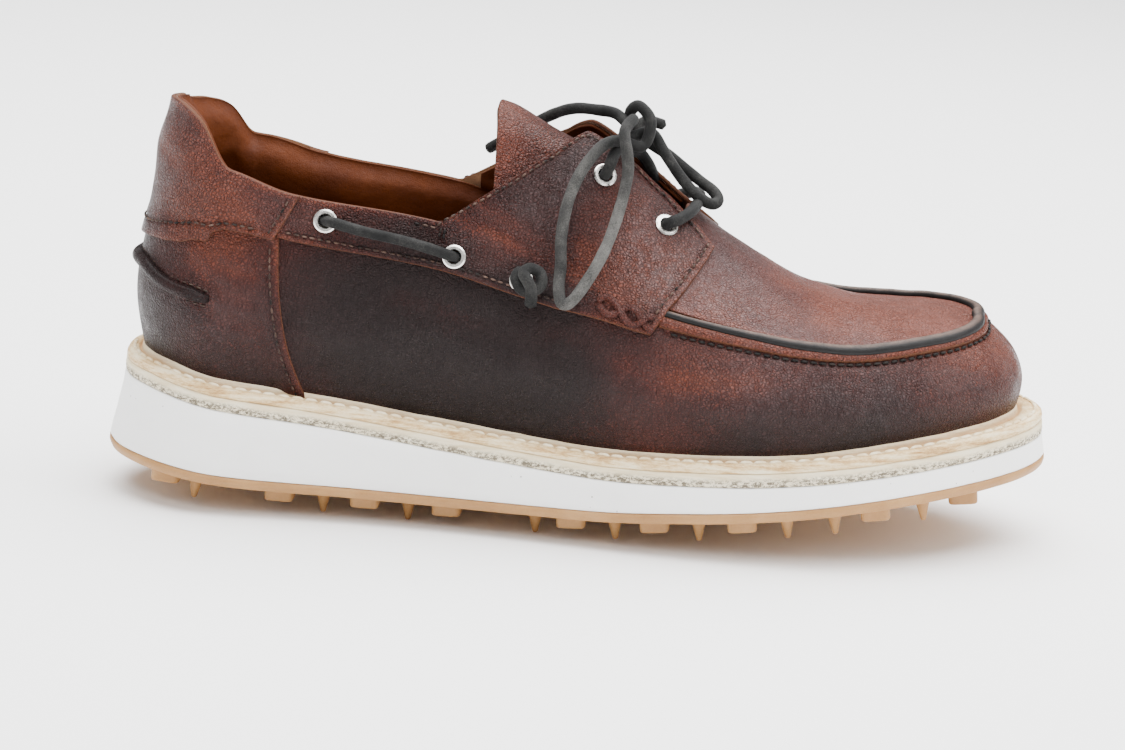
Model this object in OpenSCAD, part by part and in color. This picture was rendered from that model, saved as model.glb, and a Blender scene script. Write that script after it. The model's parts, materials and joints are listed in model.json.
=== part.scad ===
// Right-foot moccasin golf shoe with a stitched welt, foam wedge sole and laced throat.
// Frame: +X toe, +Y medial (inner) side, +Z up, origin on the ground under the middle of the sole.

/* [Size] */
// Length of the sole from heel to toe
sole_l = 310; // [304:1:316]
// Length of the rounded heel end of the sole
heel_r = 42; // [38:1:46]
// Length of the rounded toe end of the sole
toe_r = 78; // [72:1:84]

/* [Sole layers] */
// Thickness of the rubber outsole
outsole_t = 3.5; // [3:0.1:4]
// Thickness of the leather midsole
midsole_t = 4.5; // [4:0.1:5]
// Thickness of the stitched welt
welt_t = 3; // [2.6:0.1:3.4]
// Height of the square tread lugs
lug_h = 4.5; // [3.5:0.1:4.5]
// Length of a tread lug
lug_l = 9.5; // [8:0.5:11]
// Height of a pointed traction stud
stud_h = 8.5; // [7:0.1:8.5]

/* [Upper] */
// Thickness of the upper leather
leather_t = 1.4; // [1:0.1:1.4]
// Thickness of the lining leather
lining_t = 1.1; // [0.9:0.1:1.1]
// Thickness of the foam in the collar at its fullest
collar_foam_t = 3; // [2:0.5:3.5]
// Diameter of the piping round the toe ridge
piping_d = 2.6; // [2:0.2:3]
// Diameter of the corded bead round the heel
bead_d = 4.6; // [4:0.2:5]

/* [Lacing] */
// Diameter of the laces
lace_d = 3.8; // [3:0.2:4]
// Outer diameter of an eyelet's flange
eyelet_od = 7.6; // [7:0.2:8.4]
// Inner diameter of an eyelet's barrel
eyelet_id = 4.4; // [4.2:0.1:4.6]

/* [Hidden] */
$fn = 32;

gap = 0.1;             // clearance between neighbouring layers of the upper
layer_gap = 0.35;      // clearance where two layers follow different lines of points
barrel_wall = 0.4;     // wall of an eyelet's barrel
flange_t = 0.6;        // height of an eyelet's flange
overlay_in = 1.5;      // underside of the quarter overlays above the upper's base surface
overlay_out = overlay_in + leather_t;
lining_out = -1.3;     // outer face of the lining below the base surface
lining_in = lining_out - lining_t;
feather_in = 9;        // how far the upper meets the welt inside the sole's edge
spine_end = sole_l - 30;

// Half-widths of the sole beside its centreline, against percent of its length
lateral_half = [[0, 39], [13, 40], [29, 38.5], [45, 43], [61, 51.5], [75, 54], [100, 47]];
medial_half = [[0, 39], [13, 40], [29, 36], [45, 38.5], [61, 50], [72, 55], [100, 50]];
centreline = [[0, -2.2], [32, -2.2], [65, -1.2], [100, 2.8]];
// Underside of the outsole and thickness of the foam wedge, against percent of the length
underside = [[0, 13.5], [6, 12.5], [14, 10], [23, 9], [39, 8.5], [53, 9.3], [61, 11.3],
    [70, 14.1], [82, 19.2], [90, 22.5], [100, 26]];
foam_t = [[0, 22.7], [6, 22.5], [22, 19.9], [38, 14.9], [54, 10.3], [69, 8.1], [85, 7], [100, 7.2]];
// Extra inset against the station: of every layer above the foam, and of the upper's foot alone
heel_in = [[0, 3.8], [0.5, 2.5], [1, 0]];
toe_in = [[2, 0], [2.5, 1.6], [3, 3.6]];
// Rim of the upper's wall against the station round it, 0 heel back, 1 to 2 side, 3 toe tip
rim_inset = [[0, 20], [0.5, 15], [1, 12.5], [1.36, 13.5], [1.75, 15], [2, 16], [2.5, 18.5], [3, 23]];
rim_height = [[0, 131], [0.4, 132], [0.6, 131.5], [0.8, 127], [0.95, 115.5], [1.02, 111.4],
    [1.11, 105.5], [1.36, 99.5], [1.5, 92], [1.6, 86.5], [1.73, 77.5], [1.88, 71.5], [2, 68],
    [2.2, 67], [2.5, 69], [3, 73]];
medial_rise = [[0, 0], [0.5, -4.5], [0.9, -2], [1.05, 3.5], [1.2, 4.5], [1.4, 4], [2, 3],
    [2.6, 3], [3, 0]];
// Height of the instep's spine, against percent of the length
spine_height = [[32, 146], [41, 139.5], [50, 129.5], [56.5, 113.5], [64, 96.5], [66.5, 91.8],
    [73, 80.6], [78, 75.8], [85, 73], [94, 72]];
// Leaving angles and pull of the wall's curve at the welt and at the rim, and of the instep's
foot_angle = [[0, 105], [1, 108], [2, 112], [3, 114]];
rim_angle = [[0, 80], [1, 85], [1.35, 78], [1.75, 62], [2, 50], [2.5, 40], [3, 35]];
foot_pull = [[0, 0.33], [3, 0.45]];
rim_pull = [[0, 0.33], [3, 0.5]];
instep_angle = [[1, 80], [1.35, 72], [1.75, 48], [2, 16], [2.5, 7], [3, 5]];

// Edges of the quarter overlay: lower and upper limit against the station
quarter_low = [[1, 0.8], [1.25, 0.79], [1.48, 0.79], [1.66, 0.82], [1.73, 0.84], [1.77, 1.14],
    [1.8, 1.38], [1.82, 1.62]];
quarter_high = [[1, 1], [1.36, 1], [1.425, 1.2], [1.49, 1.4], [1.55, 1.61], [1.59, 1.82],
    [1.68, 1.87], [1.73, 1.83], [1.79, 1.75], [1.82, 1.7]];
patch_low = [[0, 0.45], [0.6, 0.49], [0.74, 0.52], [0.885, 0.6], [0.94, 0.68], [1.02, 0.74],
    [1.115, 0.78]];
bead_level = [[0, 0.37], [0.4, 0.37], [0.62, 0.335], [0.79, 0.34], [0.94, 0.38]];
// Eyelets as station and level: three along the side, two up the facing
side_holes = [[1.167, 0.914], [1.39, 0.87], [1.506, 0.872]];
facing_holes = [[1.626, 1.595], [1.734, 1.567]];
braid_ends = [1.645, 1.725];
braid_level = 0.905;

// Lace routes in millimetres
throat_route = [[6, -19.7, 115.5], [5.3, -17.7, 114.2], [7, -12.7, 119.2], [12, -7.2, 121.8],
    [17, -0.2, 120.6], [21.5, 7.8, 111.4], [24.5, 12.6, 103], [26.5, 16, 101.3], [27.8, 19, 103.6],
    [32, 18.3, 105.2], [35.5, 10.8, 107], [37, -2.2, 107.8], [35.5, -14.2, 106.2], [32, -21.7, 104.4],
    [28, -23.7, 102.8], [26.5, -20.4, 100.3], [24.5, -17, 101.8], [19.5, -11.2, 110.4], [13.5, -1.2, 116.2],
    [8.5, 6.8, 117.2], [5.5, 11.4, 115.4], [6, 14, 116.2]];
lateral_end_route = [[6, -19.7, 115.5], [7.2, -22.5, 117.4], [8.5, -23.7, 120.5], [9.5, -19.2, 123.5],
    [12, -13.2, 126], [15.5, -7.7, 128], [20.5, -5.7, 128.5], [25, -7.2, 122.5], [31, -8.2, 114.8],
    [36.5, -8.2, 109.4], [41, -6.7, 106.8], [43, -3.7, 107.6], [41, -1.2, 110.2], [36.5, -0.7, 113.2],
    [30.5, -0.7, 117.5], [26, -1.2, 121], [20, -1.7, 124.5], [15.5, -0.7, 128], [18, 1.3, 131.3],
    [24.5, 0.8, 130.3]];
medial_end_route = [[6, 14, 116.2], [7, 16.8, 118], [9, 16.8, 121.5], [11, 10.8, 126], [12.5, 3.8, 130.5],
    [13, -3.2, 135], [16, -7.7, 137.5], [20, -10.2, 133], [18, -12.7, 125.5], [10.5, -17.7, 127.5],
    [5.5, -24, 126.3], [0, -29, 119.2], [-3.5, -32.2, 110], [-5, -35, 99], [-4.5, -38.2, 90],
    [-4.5, -41.7, 83.5], [-3, -44.7, 79], [0.5, -43.7, 80.5], [6, -39.5, 89], [10, -35.4, 98],
    [13, -30, 109], [14.5, -26.7, 118.5], [14, -27.2, 125], [12.5, -22.2, 131.5], [14.5, -14.2, 134],
    [12.5, -6.7, 131.5], [8, -1.2, 133.5], [2, 1.8, 133.8], [-6, 6.8, 133], [-14, 13.8, 129.2],
    [-25, 23.3, 121.5], [-36.5, 28.8, 113.5]];
// Side lace as station, level and height over the base surface, heel back to knot
side_route = [[0, 0.62, -0.6], [0.3, 0.62, -0.6], [0.6, 0.64, -0.6], [0.85, 0.7, -0.6],
    [1, 0.8, -0.6], [1.1, 0.89, -0.8], [1.155, 0.912, -0.4], [1.167, 0.914, 2],
    [1.185, 0.912, 4.6], [1.24, 0.895, 5.3], [1.31, 0.885, 5.3], [1.37, 0.872, 4.6],
    [1.39, 0.87, 2], [1.402, 0.87, -0.5], [1.448, 0.872, -1], [1.494, 0.872, -0.5],
    [1.506, 0.872, 2], [1.506, 0.872, 4.4]];

// Smooth curve through knots [x, y]
function slope(k, i) =
    let (a = max(i - 1, 0), b = min(i + 1, len(k) - 1))
    (k[b][1] - k[a][1]) / (k[b][0] - k[a][0]);
function span(k, x, i = 0) = i + 2 >= len(k) || x < k[i + 1][0] ? i : span(k, x, i + 1);
function curve(k, x) =
    x <= k[0][0] ? k[0][1] :
    x >= k[len(k) - 1][0] ? k[len(k) - 1][1] :
    let (i = span(k, x), h = k[i + 1][0] - k[i][0], t = (x - k[i][0]) / h)
    (2 * t^3 - 3 * t^2 + 1) * k[i][1] + (t^3 - 2 * t^2 + t) * h * slope(k, i)
        + (3 * t^2 - 2 * t^3) * k[i + 1][1] + (t^3 - t^2) * h * slope(k, i + 1);
function unit(v) = v / norm(v);
function steps(a, b, n) = [for (i = [0:n]) a + (b - a) * i / n];

// Sole curves at s millimetres from the heel back
function along(k, s) = curve(k, 100 * s / sole_l);
function outsole_bottom(s) = along(underside, s);
function foam_bottom(s) = outsole_bottom(s) + outsole_t;
function midsole_bottom(s) = foam_bottom(s) + along(foam_t, s);
function welt_bottom(s) = midsole_bottom(s) + midsole_t;
function feather(s) = welt_bottom(s) + welt_t;

// Station v 0 to 3 from heel back to toe tip on either side, and u 0 to 6 all the way round
function lap(u) = u < 0 ? u + 6 : u >= 6 ? u - 6 : u;
function station(u) = lap(u) <= 3 ? lap(u) : 6 - lap(u);
function is_medial(u) = lap(u) > 3;
function station_s(v) =
    v < 1 ? heel_r * (1 - cos(90 * v)) :
    v < 2 ? heel_r + (sole_l - toe_r - heel_r) * (v - 1) :
    sole_l - toe_r + toe_r * sin(90 * (v - 2));
function station_width(v) = v < 1 ? sin(90 * v) : v < 2 ? 1 : cos(90 * (v - 2));
function anchor_s(v) = v < 1 ? heel_r : v < 2 ? station_s(v) : sole_l - toe_r;
function sole_edge(u) =
    let (v = station(u), s = station_s(v), half = is_medial(u) ? medial_half : lateral_half)
    [s, along(centreline, s) + (is_medial(u) ? 1 : -1) * station_width(v) * along(half, s)];
function inward(u) =
    let (a = anchor_s(station(u)))
    unit([a, along(centreline, a)] - sole_edge(u));
function heel_only(u) = curve(heel_in, station(u));
function toe_only(u) = curve(toe_in, station(u));
function upper_in(u) = heel_only(u) + toe_only(u);
function rim_z(u) =
    curve(rim_height, station(u)) + (is_medial(u) ? curve(medial_rise, station(u)) : 0);
function rim(u) =
    let (p = sole_edge(u) + inward(u) * (curve(rim_inset, station(u)) + upper_in(u)))
    [p.x, p.y, rim_z(u)];
function bezier(a, b, c, d, t) =
    a * (1 - t)^3 + 3 * b * t * (1 - t)^2 + 3 * c * t^2 * (1 - t) + d * t^3;

// Base surface of the upper: level 0 at the welt, 1 at the rim, 2 on the instep's spine
function wall(u, t) =
    let (
        v = station(u), e = sole_edge(u),
        f = [feather_in, feather(e.x)], r = [curve(rim_inset, v), rim_z(u)], n = norm(r - f),
        a = curve(foot_angle, v), b = curve(rim_angle, v),
        p = f + n * curve(foot_pull, v) * [cos(a), sin(a)],
        q = r - n * curve(rim_pull, v) * [cos(b), sin(b)],
        m = bezier(f, p, q, r, t), xy = e + inward(u) * (m.x + upper_in(u))
    )
    [xy.x, xy.y, m.y];
function spine(v) =
    let (s = v < 2 ? station_s(v) : sole_l - toe_r + (spine_end - sole_l + toe_r) * (v - 2))
    [s, along(centreline, s), along(spine_height, s)];
function instep(u, t) =
    let (
        v = station(u), r = rim(u), s = spine(v), n = norm(r - s), b = curve(instep_angle, v),
        e = unit([s.x - r.x, s.y - r.y]),
        m = max(1.05, min(v, 2.95)), ahead = spine(m + 0.05), behind = spine(m - 0.05),
        fall = (ahead.z - behind.z) / (ahead.x - behind.x),
        p = r + n * 0.35 * [e.x * cos(b), e.y * cos(b), sin(b)],
        q = s - n * 0.4 * [e.x, e.y, e.x * fall]
    )
    bezier(r, p, q, s, t);
function base(u, w) =
    (w <= 1 ? wall(u, w) : instep(u, w - 1)) - [sole_l / 2, 0, 0];
function normal(u, w) =
    let (e = 0.02, highest = station(u) < 1.36 ? 1 : 2)
    unit(cross(base(u + e, w) - base(u - e, w), base(u, min(w + e, highest)) - base(u, max(w - e, 0))));
function skin(u, w, off) = base(u, w) + normal(u, w) * off;
// Across the instep: c -1 lateral rim, 0 spine, 1 medial rim
function across(v, c) = base(c <= 0 ? v : 6 - v, 2 - abs(c));
function ridge(v, c, off) =
    let (e = 0.02)
    across(v, c)
        + unit(cross(across(v + e, c) - across(v - e, c), across(v, c + e) - across(v, c - e))) * off;

// Closed leather sheet between two point grids, outer face first
module sheet(outer, inner) {
    nu = len(outer) - 1;
    nw = len(outer[0]) - 1;
    half = (nu + 1) * (nw + 1);
    points = concat([for (row = outer) each row], [for (row = inner) each row]);
    function o(i, j) = i * (nw + 1) + j;
    function n(i, j) = half + o(i, j);
    faces = concat(
        [for (i = [0:nu - 1], j = [0:nw - 1]) each [
            [o(i, j), o(i, j + 1), o(i + 1, j + 1)], [o(i, j), o(i + 1, j + 1), o(i + 1, j)],
            [n(i, j), n(i + 1, j + 1), n(i, j + 1)], [n(i, j), n(i + 1, j), n(i + 1, j + 1)]]],
        [for (i = [0:nu - 1]) each [
            [o(i, 0), o(i + 1, 0), n(i + 1, 0)], [o(i, 0), n(i + 1, 0), n(i, 0)],
            [n(i + 1, nw), o(i + 1, nw), o(i, nw)], [n(i + 1, nw), o(i, nw), n(i, nw)]]],
        [for (j = [0:nw - 1]) each [
            [n(0, j + 1), o(0, j + 1), o(0, j)], [n(0, j + 1), o(0, j), n(0, j)],
            [o(nu, j), o(nu, j + 1), n(nu, j + 1)], [o(nu, j), n(nu, j + 1), n(nu, j)]]]
    );
    polyhedron(points, faces);
}

// Panel of the wall or instep over stations us, between two levels, from inner to outer height;
// it leans back along the shoe towards the rim, the more steeply the greater its bend
module panel(us, low, high, rows, inner, outer, lean = function(u) 0, bend = 1) {
    function level(u, j) = low(u) + (high(u) - low(u)) * j / rows;
    function place(u, j) = u - lean(u) * pow(1 - level(u, j), bend);
    sheet(
        [for (u = us) [for (j = [0:rows]) skin(place(u, j), level(u, j), outer(u, level(u, j)))]],
        [for (u = us) [for (j = [0:rows]) skin(place(u, j), level(u, j), inner(u, level(u, j)))]]
    );
}

// Panel across the instep from one side to the other
module arch(vs, side, columns, inner, outer) {
    function c(v, j) = side(v) * (2 * j / columns - 1);
    sheet(
        [for (v = vs) [for (j = [0:columns]) ridge(v, c(v, j), outer(v))]],
        [for (v = vs) [for (j = [0:columns]) ridge(v, c(v, j), inner(v))]]
    );
}

// Flat layer of the sole between two stations, with insets from the sole's edge below and above
module layer(vs, low, high, inset_low, inset_high, extra_low = function(u) heel_only(u),
        extra_high = function(u) heel_only(u)) {
    function side(u, inset, extra, z) =
        let (e = sole_edge(u), p = e + inward(u) * (inset + extra(u)))
        [p.x - sole_l / 2, p.y, z(e.x)];
    rows = [for (v = vs) [
        side(v, inset_low, extra_low, low), side(v, inset_high, extra_high, high),
        side(6 - v, inset_high, extra_high, high), side(6 - v, inset_low, extra_low, low)]];
    last = 4 * (len(vs) - 1);
    polyhedron([for (r = rows) each r], concat(
        [[0, 1, 2], [0, 2, 3]],
        [for (i = [0:len(vs) - 2], k = [0:3]) each
            let (a = 4 * i + k, b = 4 * i + (k + 1) % 4)
            [[a, a + 4, b + 4], [a, b + 4, b]]],
        [[last, last + 2, last + 1], [last, last + 3, last + 2]]
    ));
}

// Layer within the upper, which stands in from the sole's edge at the heel and at the toe
module inner_layer(vs, low, high, inset_low, inset_high) {
    layer(vs, low, high, inset_low, inset_high, function(u) upper_in(u), function(u) upper_in(u));
}

// Round cord along a route of points
module cord(route, d, sides = 8) {
    n = len(route);
    function heading(i) = unit(route[min(i + 1, n - 1)] - route[max(i - 1, 0)]);
    function flatten(a, t) = unit(a - t * (a * t));
    first = flatten(abs(heading(0).z) < 0.9 ? [0, 0, 1] : [1, 0, 0], heading(0));
    sideways = [for (i = 0, a = first; i < n; i = i + 1, a = i < n ? flatten(a, heading(i)) : a) a];
    rings = [for (i = [0:n - 1]) let (a = sideways[i], b = cross(heading(i), a))
        [for (k = [0:sides - 1]) route[i] + (a * cos(360 * k / sides) + b * sin(360 * k / sides)) * d / 2]];
    polyhedron([for (r = rings) each r], concat(
        [[for (k = [0:sides - 1]) k]],
        [for (i = [0:n - 2], k = [0:sides - 1]) each
            let (a = i * sides + k, b = i * sides + (k + 1) % sides)
            [[a, a + sides, b + sides], [a, b + sides, b]]],
        [[for (k = [0:sides - 1]) n * sides - 1 - k]]
    ));
}

// Stands its children on the surface, +Z along the outward normal
module on_surface(u, w, off) {
    n = normal(u, w);
    translate(skin(u, w, off)) rotate([0, acos(n.z), atan2(n.y, n.x)]) children();
}

module holes(list, mirrored) {
    for (h = list)
        on_surface(mirrored ? 6 - h[0] : h[0], h[1], -2)
            cylinder(h = 8, r = eyelet_id / 2 + barrel_wall + gap);
}

module eyelet() {
    bore = eyelet_id / 2;
    rotate_extrude()
        polygon([[bore, -1.6], [bore + barrel_wall, -1.6], [bore + barrel_wall, gap],
            [eyelet_od / 2, gap], [eyelet_od / 2, gap + flange_t / 2],
            [eyelet_od / 2 - 0.5, gap + flange_t], [bore + 0.3, gap + flange_t], [bore, flange_t / 2]]);
}

module eyelets(mirrored) {
    for (h = concat(side_holes, facing_holes))
        on_surface(mirrored ? 6 - h[0] : h[0], h[1], overlay_out) eyelet();
}

function flat(z) = function(u, w = 0) z;
function level_of(table) = function(u) lookup(station(u), table);
whole = concat([0.04, 0.2, 0.35, 0.5, 0.65, 0.8], steps(1, 2, 12), [2.2, 2.4, 2.6, 2.75, 2.88, 2.96]);
inside = concat([0.1, 0.35, 0.6, 0.8], steps(1, 2, 10), [2.25, 2.5, 2.7, 2.85]);

module outsole() {
    color([0.72, 0.56, 0.38])
        layer(whole, function(s) outsole_bottom(s), function(s) foam_bottom(s), 0.6, 0, flat(0), flat(0));
}

// Tread: rows of lugs just inside both edges and down the middle, tilted with the sole
lateral_lugs = [24, 62, 90, 117, 158, 185, 213, 255, 283];
middle_lugs = [42, 75, 172, 200, 228, 262];
lug_w = 9;
edge_inset = 10;

module on_underside(s, y) {
    tilt = atan((outsole_bottom(s + 3) - outsole_bottom(s - 3)) / 6);
    translate([s - sole_l / 2, y, outsole_bottom(s)]) rotate([0, -tilt, 0]) children();
}

function tread_y(s, side) =
    let (toe = max(0, s - sole_l + toe_r) / toe_r, heel = max(0, heel_r - s) / heel_r,
        half = along(side > 0 ? medial_half : lateral_half, s))
    along(centreline, s) + side * (half * sqrt(1 - toe^2) * sqrt(1 - heel^2) - edge_inset);

module lug() {
    translate([-lug_l / 2, -lug_w / 2, -lug_h]) cube([lug_l, lug_w, lug_h + 0.5]);
}

module traction_lugs() {
    color([0.70, 0.54, 0.36]) {
        for (s = lateral_lugs, side = [-1, 1]) on_underside(s, tread_y(s, side)) lug();
        for (s = middle_lugs) on_underside(s, along(centreline, s)) lug();
    }
}

stud_rows = [34, 76, 104, 146, 172, 199, 227, 242, 270];
waist_stud = 116;      // the lowest point of the tread, where the shoe stands
stud_r = 2.6;
tip_r = 0.7;

module stud() {
    translate([0, 0, -stud_h]) cylinder(h = stud_h + 0.5, r1 = tip_r, r2 = stud_r);
}

module traction_studs() {
    color([0.70, 0.54, 0.36]) {
        for (s = stud_rows, side = [-1, 1]) on_underside(s, tread_y(s, side) - side * 2) stud();
        on_underside(waist_stud, along(centreline, waist_stud)) stud();
    }
}

module foam_midsole() {
    color([0.93, 0.93, 0.91])
        layer(whole, function(s) foam_bottom(s), function(s) midsole_bottom(s), 0, 1.2, flat(0));
}

module leather_midsole() {
    color([0.82, 0.76, 0.64])
        layer(whole, function(s) midsole_bottom(s), function(s) welt_bottom(s), 1.3, 1.3);
}

module welt() {
    us = steps(0, 6, 72);
    function corner(u, inset, z) =
        let (p = sole_edge(u) + inward(u) * (inset + heel_only(u)))
        [p.x - sole_l / 2, p.y, z];
    points = [for (i = [0:len(us) - 2]) let (u = us[i], s = sole_edge(u).x) each [
        corner(u, 1.6, welt_bottom(s)), corner(u, 2.2, feather(s)),
        corner(u, feather_in + 3 + toe_only(u), feather(s)),
        corner(u, feather_in + 3 + toe_only(u), welt_bottom(s))]];
    n = len(points);
    color([0.80, 0.68, 0.50]) polyhedron(points, [for (i = [0:4:n - 4], k = [0:3]) each
        let (a = i + k, b = i + (k + 1) % 4)
        [[a, (a + 4) % n, (b + 4) % n], [a, (b + 4) % n, b]]]);
}

inside_welt = feather_in + 3.3;

module cork_filler() {
    color([0.55, 0.40, 0.25])
        inner_layer(concat(steps(1.6, 2, 5), [2.25, 2.5, 2.7, 2.85]), function(s) welt_bottom(s) + gap,
            function(s) feather(s) - gap, inside_welt, inside_welt);
}

module shank() {
    lengths = steps(55, 150, 12);
    half = 7;
    rise = 0.9;
    thick = 1.2;
    rows = [for (s = lengths)
        let (x = s - sole_l / 2, y = along(centreline, s), z = welt_bottom(s) + rise)
        [[x, y - half, z], [x, y - half, z + thick], [x, y + half, z + thick], [x, y + half, z]]];
    last = 4 * (len(lengths) - 1);
    color([0.55, 0.57, 0.60]) polyhedron([for (r = rows) each r], concat(
        [[0, 1, 2, 3]],
        [for (i = [0:len(lengths) - 2], k = [0:3]) each
            let (a = 4 * i + k, b = 4 * i + (k + 1) % 4)
            [[a, a + 4, b + 4], [a, b + 4, b]]],
        [[last + 3, last + 2, last + 1, last]]
    ));
}

module insole_board() {
    color([0.70, 0.58, 0.42])
        inner_layer(inside, function(s) feather(s) + gap, function(s) feather(s) + 2, inside_welt + 1,
            inside_welt);
}

module footbed() {
    color([0.62, 0.42, 0.24])
        inner_layer(inside, function(s) feather(s) + 2.2, function(s) feather(s) + 6.5, inside_welt + 0.5,
            inside_welt);
}

seam = 1.078;          // side seam between the heel counter panel and the vamp
seam_lean = 0.058;     // how far the seam sweeps forward towards the welt
seam_bend = 3;         // how late it does so: 1 is a straight seam
panel_foot = 0.02;     // lowest and highest level of the panels under the overlays
panel_top = 0.985;

module vamp() {
    function lean(u) =
        station(u) > 1.3 ? 0 : (u < 3 ? -1 : 1) * seam_lean * (1.3 - station(u)) / (1.3 - seam);
    us = concat([seam, 1.14, 1.22], steps(1.3, 2, 10), steps(2.12, 3.88, 16), steps(4, 4.7, 10),
        [4.78, 4.86, 6 - seam]);
    color([0.27, 0.15, 0.12]) difference() {
        panel(us, flat(panel_foot), flat(panel_top), 9, flat(0), flat(leather_t), function(u) lean(u),
            seam_bend);
        holes(side_holes, false);
        holes(side_holes, true);
    }
}

module moc_plug() {
    vs = concat([1.765], steps(1.8, 2, 5), steps(2.12, 2.96, 8));
    function side(v) = lookup(v, [[1.765, 0.85], [1.8, 0.97]]);
    color([0.36, 0.18, 0.14])
        arch(vs, function(v) side(v), 16, function(v) 0, function(v) leather_t);
}

module plug_lining() {
    vs = concat(steps(1.85, 2, 3), steps(2.12, 2.855, 7));
    color([0.70, 0.50, 0.32])
        arch(vs, function(v) 0.9, 16, function(v) -layer_gap - lining_t, function(v) -layer_gap);
}

module toe_ridge_piping() {
    lift = leather_t + piping_d / 2 + gap;
    color([0.06, 0.05, 0.05])
        cord([for (u = steps(1.74, 4.26, 54)) skin(u, 1, lift)], piping_d);
}

module heel_counter_panel() {
    front = seam - 0.005;
    us = concat(steps(-front, -0.8, 4), steps(-0.66, 0.66, 12), steps(0.8, front, 4));
    function lean(u) = abs(u) < 0.8 ? 0 : (u > 0 ? -1 : 1) * seam_lean * (abs(u) - 0.8) / (front - 0.8);
    color([0.30, 0.17, 0.13])
        panel(us, flat(panel_foot), flat(panel_top), 9, flat(0), flat(leather_t), function(u) lean(u),
            seam_bend);
}

module heel_bead() {
    lift = leather_t + bead_d / 2 + gap;
    color([0.20, 0.12, 0.10])
        cord([for (u = steps(-0.9, 0.9, 18)) skin(u, curve(bead_level, abs(u)), lift)], bead_d);
}

function patch_lean(u) = (u > 0 ? 1 : -1) * 0.18 * max(0, min(1, (abs(u) - 0.9) / 0.2));

module heel_collar_patch() {
    us = concat(steps(-1.11, -0.86, 6), steps(-0.74, 0.74, 14), steps(0.86, 1.11, 6));
    color([0.38, 0.19, 0.14])
        panel(us, function(u) lookup(abs(u), patch_low), function(u) 1, 6,
            flat(overlay_in), flat(overlay_out + 0.3), function(u) patch_lean(u));
}

quarter_stations = [1.13, 1.2, 1.28, 1.36, 1.4, 1.45, 1.5, 1.55, 1.59, 1.63, 1.68, 1.73, 1.75, 1.77, 1.79,
    1.805, 1.82];

function quarter_lean(u) = 0.18 * max(0, min(1, (1.3 - u) / 0.18));

module quarter(mirrored) {
    us = mirrored ? [for (i = [len(quarter_stations) - 1:-1:0]) 6 - quarter_stations[i]] : quarter_stations;
    difference() {
        panel(us, level_of(quarter_low), level_of(quarter_high), 12, flat(overlay_in), flat(overlay_out),
            mirrored ? function(u) -quarter_lean(6 - u) : function(u) quarter_lean(u));
        holes(concat(side_holes, facing_holes), mirrored);
    }
}

module lateral_quarter() {
    color([0.37, 0.19, 0.14]) quarter(false);
}

module medial_quarter() {
    color([0.37, 0.19, 0.14]) quarter(true);
}

facing_stations = [1.45, 1.5, 1.55, 1.59, 1.63, 1.68, 1.73, 1.755];

module facing_lining(mirrored) {
    us = mirrored ? [for (i = [len(facing_stations) - 1:-1:0]) 6 - facing_stations[i]] : facing_stations;
    difference() {
        panel(us, function(u) max(1.02, lookup(station(u), quarter_low) + 0.02),
            function(u) lookup(station(u), quarter_high) - 0.02, 6, flat(gap), flat(overlay_in - gap));
        holes(facing_holes, mirrored);
    }
}

module lateral_facing_lining() {
    color([0.70, 0.48, 0.30]) facing_lining(false);
}

module medial_facing_lining() {
    color([0.70, 0.48, 0.30]) facing_lining(true);
}

// Extra depth of the padded collar below the rim
collar_swell = [[0.6, 0], [0.72, 0.7], [0.83, 1], [0.9, 0.85], [0.985, 0]];
function swell(u, w) =
    collar_foam_t * lookup(w, collar_swell) * max(0, min(1, (1.4 - abs(u)) / 0.2));

lining_stations = concat(steps(-1.5, -0.8, 9), steps(-0.66, 0.66, 12), steps(0.8, 1.5, 9));
lining_rows = 10;
lining_foot = 0.01;
lining_top = 0.985;
function lining_row(j) = lining_foot + (lining_top - lining_foot) * j / lining_rows;
function heel_part(reach) = [for (u = lining_stations) if (abs(u) < reach) u];

module quarter_lining() {
    color([0.72, 0.50, 0.31])
        panel(lining_stations, flat(lining_foot), flat(lining_top), lining_rows,
            function(u, w) lining_in - swell(u, w), function(u, w) lining_out - swell(u, w));
}

toe_stations = concat(steps(1.52, 2, 6), steps(2.15, 3.85, 12), steps(4, 4.48, 6));
toe_row = 0.16;

module vamp_lining() {
    color([0.72, 0.52, 0.34])
        panel(toe_stations, flat(lining_foot), flat(lining_foot + 6 * toe_row), 6, flat(lining_in),
            flat(lining_out));
}

module heel_stiffener() {
    color([0.80, 0.74, 0.64])
        panel(heel_part(0.96), flat(lining_row(1)), flat(lining_row(5)), 4, flat(lining_out + gap),
            flat(-layer_gap));
}

module toe_puff() {
    color([0.78, 0.72, 0.62])
        panel([for (u = toe_stations) if (abs(u - 3) < 0.7) u], flat(lining_foot + toe_row),
            flat(lining_foot + 5 * toe_row), 4, flat(lining_out + gap), flat(-layer_gap));
}

module collar_padding() {
    color([0.85, 0.82, 0.70])
        panel(heel_part(1.35), flat(lining_row(7)), flat(lining_row(10)), 3,
            function(u, w) lining_out + gap - swell(u, w), flat(-layer_gap));
}

// The tongue lies close to the facings at its free end and dips below the lacing
tongue_drop = [[1.44, 1], [1.475, 1.4], [1.545, 6.2], [1.615, 6.6], [1.7, 5.6], [1.82, 5.6]];
tongue_t = 1.6;
tongue_side = [[1.44, 0.72], [1.5, 0.76], [1.7, 0.72], [1.82, 0.6]];
tongue_stations = steps(1.445, 1.81, 12);

module tongue() {
    color([0.37, 0.19, 0.14])
        arch(tongue_stations, function(v) lookup(v, tongue_side), 14,
            function(v) -lookup(v, tongue_drop) - tongue_t, function(v) -lookup(v, tongue_drop));
}

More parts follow.
